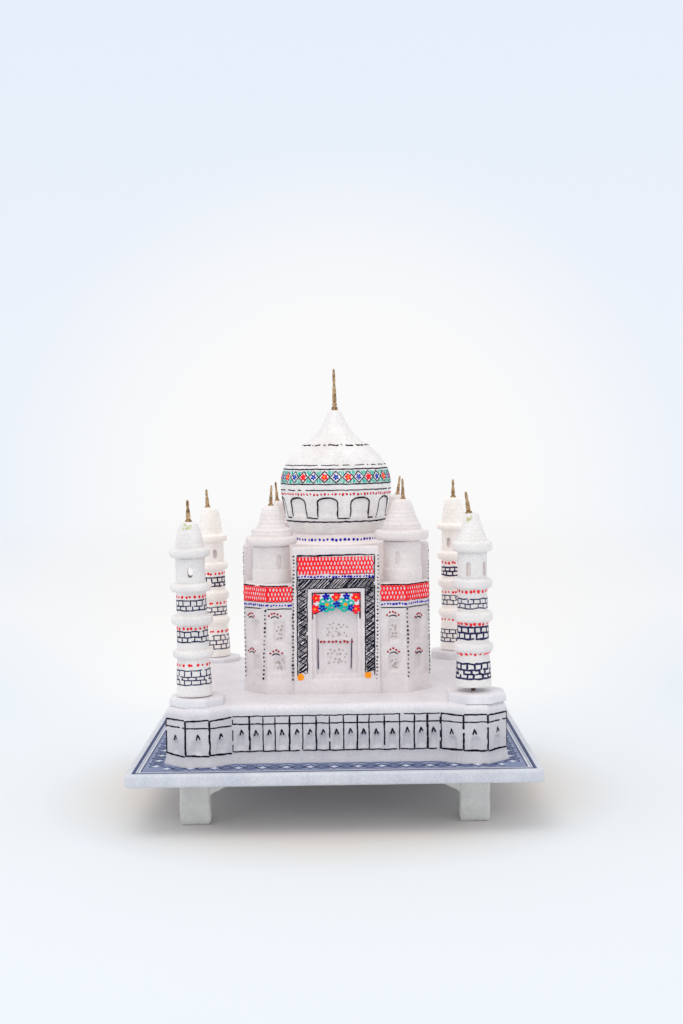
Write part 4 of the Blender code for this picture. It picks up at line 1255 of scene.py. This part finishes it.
def finial(node, base_radius, tall, place, body):
    """The finial in its own frame, which stands on the cap with its tip up."""
    leaf, pinch, shank = 0.76 * tall, 0.61 * tall, 0.22 * tall
    sides = 20
    outline = [(0.02, tall), (0.22 * base_radius, 0.985 * tall), (0.36 * base_radius, 0.93 * tall),
               (0.44 * base_radius, leaf + 0.02 * tall), (0.43 * base_radius, leaf - 0.05 * tall),
               (0.37 * base_radius, pinch), (0.5 * base_radius, pinch - 0.05 * tall),
               (0.60 * base_radius, 0.42 * tall), (0.68 * base_radius, shank),
               (0.55 * base_radius, shank - 0.03 * tall), (0.78 * base_radius, 0.15 * tall),
               (0.55 * base_radius, 0.10 * tall), (base_radius, 0.08 * tall), (base_radius, 0.0)]
    path = soften(resample([Vector(p) for p in outline], tall / 40), 1)
    verts, faces = [], []
    for r, z in path:
        knurled = rise(z, shank, shank + 1.0) * (1 - rise(z, pinch - 1.2, pinch))
        flat_leaf = rise(z, pinch, leaf)
        for k in range(sides):
            angle = 2 * math.pi * k / sides
            knurl = 1 + 0.10 * knurled * math.cos(3 * angle + z * 4.6) * math.cos(2 * angle - z * 3.4)
            x = r * knurl * math.cos(angle) * (1 + 0.05 * flat_leaf)
            y = r * knurl * math.sin(angle) * (1 - 0.35 * flat_leaf)
            verts.append(place @ Vector((x, y, z)))
    for i in range(len(path) - 1):
        for k in range(sides):
            a, b = i * sides + k, i * sides + (k + 1) % sides
            faces.append((a, a + sides, b + sides, b))
    faces.append(tuple(range(sides)))
    last = (len(path) - 1) * sides
    faces.append(tuple(range(last + sides - 1, last - 1, -1)))
    put(f"{node}_brass", verts, faces, BRASS, body, node, sharp=45.0)


def finial_frame(node):
    """A millimetre frame on a finial's disc, leaning with it."""
    points = [v.co for v in frame["nodes"][node].data.vertices]
    tip = max(points, key=lambda p: p.z)
    foot = min(points, key=lambda p: p.z)
    bottom = [p for p in points if (p - foot).length < 2 * 0.9 * MM and p.z < foot.z + 0.3 * MM]
    tang = sum(bottom, Vector()) / len(bottom)
    axis = (tip - tang).normalized()
    lean = Vector((0, 0, 1)).rotation_difference(axis).to_matrix().to_4x4()
    tang_length = 2.2 * MM
    start = tang + axis * tang_length
    length = (tip - start).length / MM + GLUE_GAP
    return Matrix.Translation(start - axis * GLUE_GAP * MM) @ lean @ TO_METRES, length


def window(name, place, width, low, high, near, far):
    """A cutter for a slot with rounded ends, from one distance in front of the axis to another."""
    half = width / 2
    points = [Vector((half * math.cos(a), high - half + half * math.sin(a))) for a in
              [math.pi * i / 6 for i in range(7)]]
    points += [Vector((half * math.cos(a), low + half + half * math.sin(a))) for a in
               [math.pi + math.pi * i / 6 for i in range(7)]]
    count = len(points)
    verts = [place @ Vector((p.x, -reach, p.y)) for reach in (far, near) for p in points]
    faces = [tuple(range(count)), tuple(reversed(range(count, 2 * count)))]
    faces += [(i, i + count, (i + 1) % count + count, (i + 1) % count) for i in range(count)]
    mesh = bpy.data.meshes.new(name)
    mesh.from_pydata(verts, [], faces)
    bm = bmesh.new()
    bm.from_mesh(mesh)
    bmesh.ops.recalc_face_normals(bm, faces=bm.faces)
    bm.to_mesh(mesh)
    bm.free()
    mesh.materials.append(SLOT_STONE)
    made = bpy.data.objects.new(name, mesh)
    bpy.context.scene.collection.objects.link(made)
    return made


def pierce(piece, cutters):
    """Cut slots through a piece, and round it off again."""
    for cutter in cutters:
        change = piece.modifiers.new(cutter.name, "BOOLEAN")
        change.object = cutter
        change.solver = "EXACT"
        change.material_mode = "TRANSFER"
    bpy.context.view_layer.update()
    done = bpy.data.meshes.new_from_object(piece.evaluated_get(bpy.context.evaluated_depsgraph_get()))
    piece.modifiers.clear()
    old = piece.data
    piece.data = done
    bpy.data.meshes.remove(old)
    for cutter in cutters:
        bpy.data.objects.remove(cutter)
    done.set_sharp_from_angle(angle=math.radians(40.0))


def turned_cap(crown, thick, radius, inner, grooves, groove_depth):
    """A cap's outline on its eave: the crown with incised rings, then the rounded eave."""
    outline = [(0, crown[0][1] + thick)]
    path = resample([Vector((r, z + thick)) for r, z in crown], 0.55)
    for p in path:
        near = min((abs(p.y - g - thick) for g in grooves), default=9.0)
        outline.append((p.x - groove_depth * max(0.0, 1 - near / 0.55), p.y))
    return outline + ring_outline(crown[-1][0], radius, thick, 0.0, inner) + [(0, -0.3)]


# Each roof kiosk: slot's direction, foot and top, eave's radius and thickness, and the cap above the eave
TIERED_CAP = ((2.8, 15.8), (3.8, 15.3), (4.6, 14.1), (5.4, 11.5), (6.05, 8.9), (7.1, 6.2), (7.9, 4.8),
              (8.2, 4.3), (10.0, 3.9), (10.4, 3.3), (10.7, 0.6))
BELL_CAP = ((3.4, 16.0), (4.9, 15.0), (6.3, 11.4), (7.3, 8.7), (8.3, 6.1), (9.4, 3.6), (10.1, 3.0),
            (10.2, 1.2))
CHHATRIS = {
    "front_left": ((26.0, 206.0), 7.6, 15.0, 13.7, 4.8, TIERED_CAP),
    "front_right": ((-16.0, 164.0), 9.0, 15.8, 14.1, 5.4, BELL_CAP),
    "back_left": ((20.0, 200.0), 7.6, 15.0, 13.7, 5.2, TIERED_CAP),
    "back_right": ((-20.0, 160.0), 8.6, 15.6, 13.7, 5.2, BELL_CAP),
}


def build_chhatris():
    for corner, (directions, slot_low, slot_high, radius, thick, crown) in CHHATRIS.items():
        node = f"chhatri_kiosk_{corner}"
        centre = middle(node)
        place = spot(centre.x, centre.y, ROOF)
        tall = (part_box(node)[1].z - ROOF) / MM
        body = [(0, tall), (9.3, tall), (9.7, tall - 0.6), (9.8, tall - 2), (9.75, 7.6), (9.85, 6.9),
                (10.2, 6.5), (10.3, 5.4), (10.3, 0), (10.3, -GLUE_GAP), (0, -GLUE_GAP)]
        kiosk = lathe(f"{node}_stone", body, 72, place, KIOSK_STONE, "root", node, strength=1.4)
        slots = []
        for i, direction in enumerate(directions):
            turned = place @ Matrix.Rotation(math.radians(direction), 4, "Z")
            slots.append(window(f"slot_{corner}_{i}", turned, 2.4, slot_low, slot_high, 8.7, 13.0))
        pierce(kiosk, slots)
        cap_node = f"chhatri_cap_{corner}"
        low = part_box(cap_node)[0]
        seat = spot(centre.x, centre.y, low.z)
        outline = turned_cap(crown, thick, radius, 9.8, (2.2, 4.4, 6.4, 8.4, 10.4), 0.25)
        lathe(f"{cap_node}_stone", outline, 72, seat, KIOSK_STONE, "root", cap_node,
              strength=1.4, step=1.2)
        finial_node = f"chhatri_finial_{corner}"
        stand, length = finial_frame(finial_node)
        finial(finial_node, 1.35, length, stand, "root")


# ---------------------------------------------------------------- minarets

SHAFT_RADII = (7.4, 7.7, 8.1)
KIOSK_RADIUS = 7.35
# In mm above each minaret's own foot: rings' tops and bottoms, rows of dots, and courses of bricks.
# Then the kiosk's slots (directions, foot, top and depth), the eave's radius and thickness, and the cap.
MINARETS = {
    "front_left": {
        "rings": ((56.55, 52.0), (40.65, 35.35), (23.4, 19.0)), "ring_radius": 10.4,
        "dots": (50.0, 34.2, 16.05), "pens": (0.66, 0.66, 0.6), "breaks": 0.2,
        "bricks": ((48.25, 45.5, 43.3), (32.7, 29.9, 27.6), (13.4, 10.3, 8.6, 6.35)),
        "slots": ((5.0, 95.0, 185.0, 275.0), 2.7, 7.6, 7.5), "eave": (10.1, 4.8),
        "cap": ((3.0, 13.2), (4.4, 12.4), (5.3, 10.2), (6.2, 7.3), (6.8, 4.4), (7.1, 1.0)),
        "grooves": (2.4, 4.4, 6.6, 8.8)},
    "front_right": {
        "rings": ((54.2, 48.9), (37.75, 32.2), (22.05, 17.0)), "ring_radius": 10.1,
        "dots": (47.85, 31.7, 16.8), "pens": (0.6, 1.0, 0.95), "breaks": 0.1,
        "bricks": ((44.25, 41.85, 39.7), (30.2, 27.2, 24.5), (12.0, 9.0, 6.8, 4.6)),
        "slots": ((-20.0, 50.0, 160.0, 230.0), 0.9, 8.2, 1.5), "eave": (10.1, 5.5),
        "cap": ((2.9, 13.85), (3.3, 13.35), (4.2, 10.8), (5.2, 7.3), (6.25, 4.3), (7.25, 1.8), (7.8, 0.6)),
        "grooves": (2.0, 3.6, 5.2, 6.8, 8.4, 10.0)},
    "back_left": {
        "rings": ((56.1, 51.3), (39.15, 33.5), (23.5, 18.9)), "ring_radius": 9.5,
        "dots": (49.55, 31.9, 15.15), "pens": (0.85, 0.6, 0.6), "breaks": 0.12,
        "bricks": ((47.2, 44.25, 42.2), (29.55, 26.9, 25.1), (12.8, 9.85, 7.5, 4.85)),
        "slots": ((22.0, 112.0, 202.0, 292.0), 2.2, 7.6, 1.5), "eave": (9.7, 4.8),
        "cap": ((3.0, 16.0), (4.6, 15.0), (5.5, 12.4), (6.2, 8.8), (6.8, 5.4), (7.1, 1.0)),
        "grooves": (3.0, 5.4, 8.0, 10.6)},
    "back_right": {
        "rings": ((58.8, 53.4), (42.2, 37.1), (24.5, 20.0)), "ring_radius": 9.9,
        "dots": (52.05, 34.7, 18.2), "pens": (0.95, 0.6, 0.6), "breaks": 0.12,
        "bricks": ((49.4, 47.05, 44.7), (32.65, 30.0, 27.35), (12.35, 10.0, 7.35, 5.3)),
        "slots": ((-30.0, 60.0, 150.0, 240.0), 2.4, 8.0, 1.5), "eave": (10.0, 4.2),
        "cap": ((3.4, 15.2), (4.9, 14.2), (5.6, 11.6), (6.2, 8.4), (6.8, 4.4), (6.9, 1.0)),
        "grooves": (3.0, 5.2, 7.6, 10.0)},
}


def brick_rows(pen, colour, around, levels, width, pitch, breaks):
    """Courses of bricks drawn round a shaft."""
    for level in levels:
        pen.line(colour, [(around * i / 24, level) for i in range(25)], width, 0.5, breaks, step=0.8)
    count = round(around / pitch)
    for row, (upper, lower) in enumerate(zip(levels, levels[1:])):
        for i in range(count):
            u = around * (i + 0.5 * (row % 2)) / count + pen.shake(0.5)
            pen.line(colour, ((u, upper - pen.shake(0.2)), (u + pen.shake(0.25), lower + pen.shake(0.2))),
                     width * 1.05, 0.12, step=0.6)


def shaft_marks(pen, around, sizes):
    for level in sizes["dots"]:
        pen.dots("red", 0, around * 0.97, level, 2.7, 0.92, 0.95)
    pen.rng = random.Random(f"{pen.group}_berries")
    for level in sizes["dots"]:
        pen.dots("berry", 0, around * 0.97, level, 2.7, 0.4, 0.9, lift=INK_LIFT + 0.04)
    for levels, width in zip(sizes["bricks"], sizes["pens"]):
        brick_rows(pen, "night", around, levels, width, 3.6, sizes["breaks"])


def build_shaft(corner, place, material, sizes):
    node = f"minaret_shaft_{corner}"
    low = span(node, place)[0]
    stand = place @ Matrix.Translation((0, 0, low.z))
    outline = [(0, sizes["rings"][0][0])]
    above = SHAFT_RADII[0]
    for below, (top, bottom) in zip(SHAFT_RADII, sizes["rings"]):
        outline += ring_outline(above, sizes["ring_radius"], top, bottom, below)
        above = below + 0.2
    outline += [(9.05, 0.7), (8.9, 0.15), (8.4, 0), (1.25, 0), (1.25, 8.0), (0, 8.0)]
    body = f"minaret_{corner}"
    lathe(f"{node}_stone", outline, 64, stand, material, body, node, strength=1.3, step=1.3)
    reference = 8.0
    pen = Pen(body, round_face(stand, radius_on(outline, 1.3), reference), f"shaft_{corner}")
    shaft_marks(pen, 2 * math.pi * reference, sizes)


def build_minaret_kiosk(corner, place, material, sizes):
    node = f"minaret_kiosk_{corner}"
    low, high = span(node, place)
    foot = place @ Matrix.Translation((0, 0, low.z - 0.3))
    tall = high.z - low.z + 0.6
    tube = [(0, tall), (7.3, tall), (KIOSK_RADIUS, tall - 1), (7.3, tall / 2), (7.4, 0.5), (7.4, 0), (0, 0)]
    kiosk = lathe(f"{node}_stone", tube, 64, foot, material, f"minaret_{corner}", node,
                  strength=1.2)
    directions, slot_low, slot_high, depth = sizes["slots"]
    slots = []
    for i, direction in enumerate(directions):
        turned = foot @ Matrix.Rotation(math.radians(direction), 4, "Z")
        slots.append(window(f"slot_{corner}_{i}", turned, 2.4, slot_low + 0.3, slot_high + 0.3,
                            KIOSK_RADIUS - depth, 12.0))
    pierce(kiosk, slots)


def build_minaret_cap(corner, place, material, sizes):
    node = f"minaret_cap_{corner}"
    low = span(node, place)[0]
    seat = place @ Matrix.Translation((0, 0, low.z))
    radius, thick = sizes["eave"]
    outline = turned_cap(sizes["cap"], thick, radius, 7.3, sizes["grooves"], 0.16)
    lathe(f"{node}_stone", outline, 64, seat, material, f"minaret_{corner}", node,
          strength=1.3, step=1.2)
    if "front" in corner:
        smear_glue(corner, round_face(seat, radius_on(outline, 1.2), 4.0), sizes["cap"][0][1] + thick - 0.8)


def smear_glue(corner, surface, top):
    """Glue that ran out from under a finial."""
    pen = Pen(f"minaret_{corner}", surface, f"glue_{corner}")
    for _ in range(7):
        u = (-0.4 if corner == "front_left" else -1.6) + pen.shake(1.5)
        pen.dot("glue", u, top - 0.5 - abs(pen.shake(2.6)), 0.8, lift=0.05, rough=0.3)


def build_minarets():
    for corner, sizes in MINARETS.items():
        place = minaret_frame(corner)
        # The back minarets get the lighter stone with the painted backlight glow.
        material = CLEAR_STONE if "front" in corner else PAINTED_BACKLIGHT_STONE
        build_shaft(corner, place, material, sizes)
        build_minaret_kiosk(corner, place, material, sizes)
        build_minaret_cap(corner, place, material, sizes)
        finial_node = f"minaret_finial_{corner}"
        stand, length = finial_frame(finial_node)
        finial(finial_node, 1.7, length, stand, f"minaret_{corner}")


def carry_over():
    """CAD nodes that keep their shape and get their material."""
    for corner in CORNERS:
        pin = frame["nodes"][f"minaret_pin_{corner}"]
        pin.data.materials.clear()
        pin.data.materials.append(RUST)


# ---------------------------------------------------------------- camera, light and floor

def build_camera():
    """The view from in front, a little above the dome's foot."""
    yaw, pitch, roll = 0.0012, 0.0530, 0.0150
    ahead = Vector((-math.sin(yaw), math.cos(yaw), 0))
    level = Vector((math.cos(yaw), math.sin(yaw), 0))
    up = Vector((0, 0, 1))
    look = ahead * math.cos(pitch) - up * math.sin(pitch)
    lift = up * math.cos(pitch) + ahead * math.sin(pitch)
    right = level * math.cos(roll) - lift * math.sin(roll)
    top = lift * math.cos(roll) + level * math.sin(roll)
    camera = bpy.data.objects.new("camera", bpy.data.cameras.new("camera"))
    bpy.context.scene.collection.objects.link(camera)
    turn = Matrix((right, top, -look)).transposed().to_4x4()
    camera.matrix_world = Matrix.Translation((0.00624, -0.7783, 0.19287)) @ turn
    camera.data.lens = 50.0
    camera.data.sensor_width = 36.0
    camera.data.clip_start = 0.05
    bpy.context.scene.camera = camera


def add_light(name, where, target, size, power, colour):
    data = bpy.data.lights.new(name, "AREA")
    data.shape = "DISK"
    data.size = size
    data.energy = power
    data.color = colour
    lamp = bpy.data.objects.new(name, data)
    bpy.context.scene.collection.objects.link(lamp)
    lamp.location = where
    lamp.rotation_mode = "QUATERNION"
    lamp.rotation_quaternion = (Vector(target) - Vector(where)).to_track_quat("-Z", "Y")


FRONT = (0.0, -0.78, 0.19)             # a fixed place in front of the object, in metres
HALO_WAY = (0.0, 0.9992, -0.04)        # the way from there to the white glow behind the object


def build_world():
    """Pale blue light all round, with a white glow behind the object."""
    world = bpy.data.worlds.new("studio")
    world.use_nodes = True
    bpy.context.scene.world = world
    tree = world.node_tree
    sky = tree.nodes["Background"]
    where = tree.nodes.new("ShaderNodeTexCoord").outputs["Generated"]
    shades = ((0.0, (0.85, 0.895, 0.965)), (0.10, (0.84, 0.885, 0.965)), (0.30, (0.79, 0.865, 0.965)),
              (0.6, (0.99, 0.98, 0.97)))
    colour = ramp_node(tree, axis_node(tree, where, "Z"), shades)
    ahead = vector_node(tree, "DOT_PRODUCT", where, HALO_WAY)
    halo = ramp_node(tree, ahead, ((0.972, grey(0.0)), (0.993, grey(1.0))))
    colour = mix_node(tree, halo, colour, (0.955, 0.955, 0.955))
    tree.links.new(colour, sky.inputs["Color"])
    sky.inputs["Strength"].default_value = 1.0


def floor_colour_with_painted_light(tree, where, away):
    """Painted shadow, darker and warm, under the object; cool in front of it; and a painted white glow on the
    floor behind it.
    """
    # The first stop is the painted shadow under the slab.
    shades = ((0.11, (0.77, 0.735, 0.70)), (0.16, (0.81, 0.85, 0.88)), (0.40, (0.79, 0.84, 0.875)),
              (0.9, (0.88, 0.90, 0.92)))
    colour = ramp_node(tree, away, shades)
    straight = vector_node(tree, "NORMALIZE", vector_node(tree, "SUBTRACT", where, FRONT))
    ahead = vector_node(tree, "DOT_PRODUCT", straight, HALO_WAY)
    # A painted glow of white on the floor behind the object.
    halo = ramp_node(tree, ahead, ((0.965, grey(0.0)), (0.988, grey(1.0))))
    behind = ramp_node(tree, axis_node(tree, where, "Y"), ((0.06, grey(0.0)), (0.30, grey(1.0))))
    glow = mix_node(tree, behind, grey(0.0), halo)
    return mix_node(tree, glow, colour, (0.93, 0.92, 0.905))


def build_floor():
    """A wide pale disc that fades into the light round it."""
    bpy.ops.mesh.primitive_circle_add(vertices=96, radius=4.0, fill_type="NGON")
    floor = bpy.context.object
    floor.name = "pale_floor"
    made, tree, shader, where = shader_of("pale_floor", 0.9)
    away = vector_node(tree, "LENGTH", where)
    tree.links.new(floor_colour_with_painted_light(tree, where, away), shader.inputs["Base Color"])
    shader.inputs["Specular IOR Level"].default_value = 0.1
    fade = range_node(tree, away, 0.45, 3.0, 1.0, 0.0)
    fade.interpolation_type = "SMOOTHSTEP"
    tree.links.new(fade.outputs["Result"], shader.inputs["Alpha"])
    floor.data.materials.append(made)


def build_studio():
    build_world()
    add_light("soft_key", (-0.35, -0.55, 1.5), (0, 0, 0.1), 1.0, 4.5, (1.0, 0.98, 0.96))
    add_light("low_fill", (0.1, -1.7, 0.12), (0, 0, 0.12), 0.8, 1.0, (1.0, 0.96, 0.94))
    build_floor()
    bpy.context.scene.view_settings.view_transform = "Standard"


build_slab()
build_print()
build_feet()
build_terrace()
build_pedestals()
build_hall()
build_portals()
build_drum()
build_dome()
build_chhatris()
main_stand, main_length = finial_frame("main_finial")
finial("main_finial", 1.75, main_length, main_stand, "root")
build_minarets()
lay_coats()
carry_over()
build_camera()
build_studio()
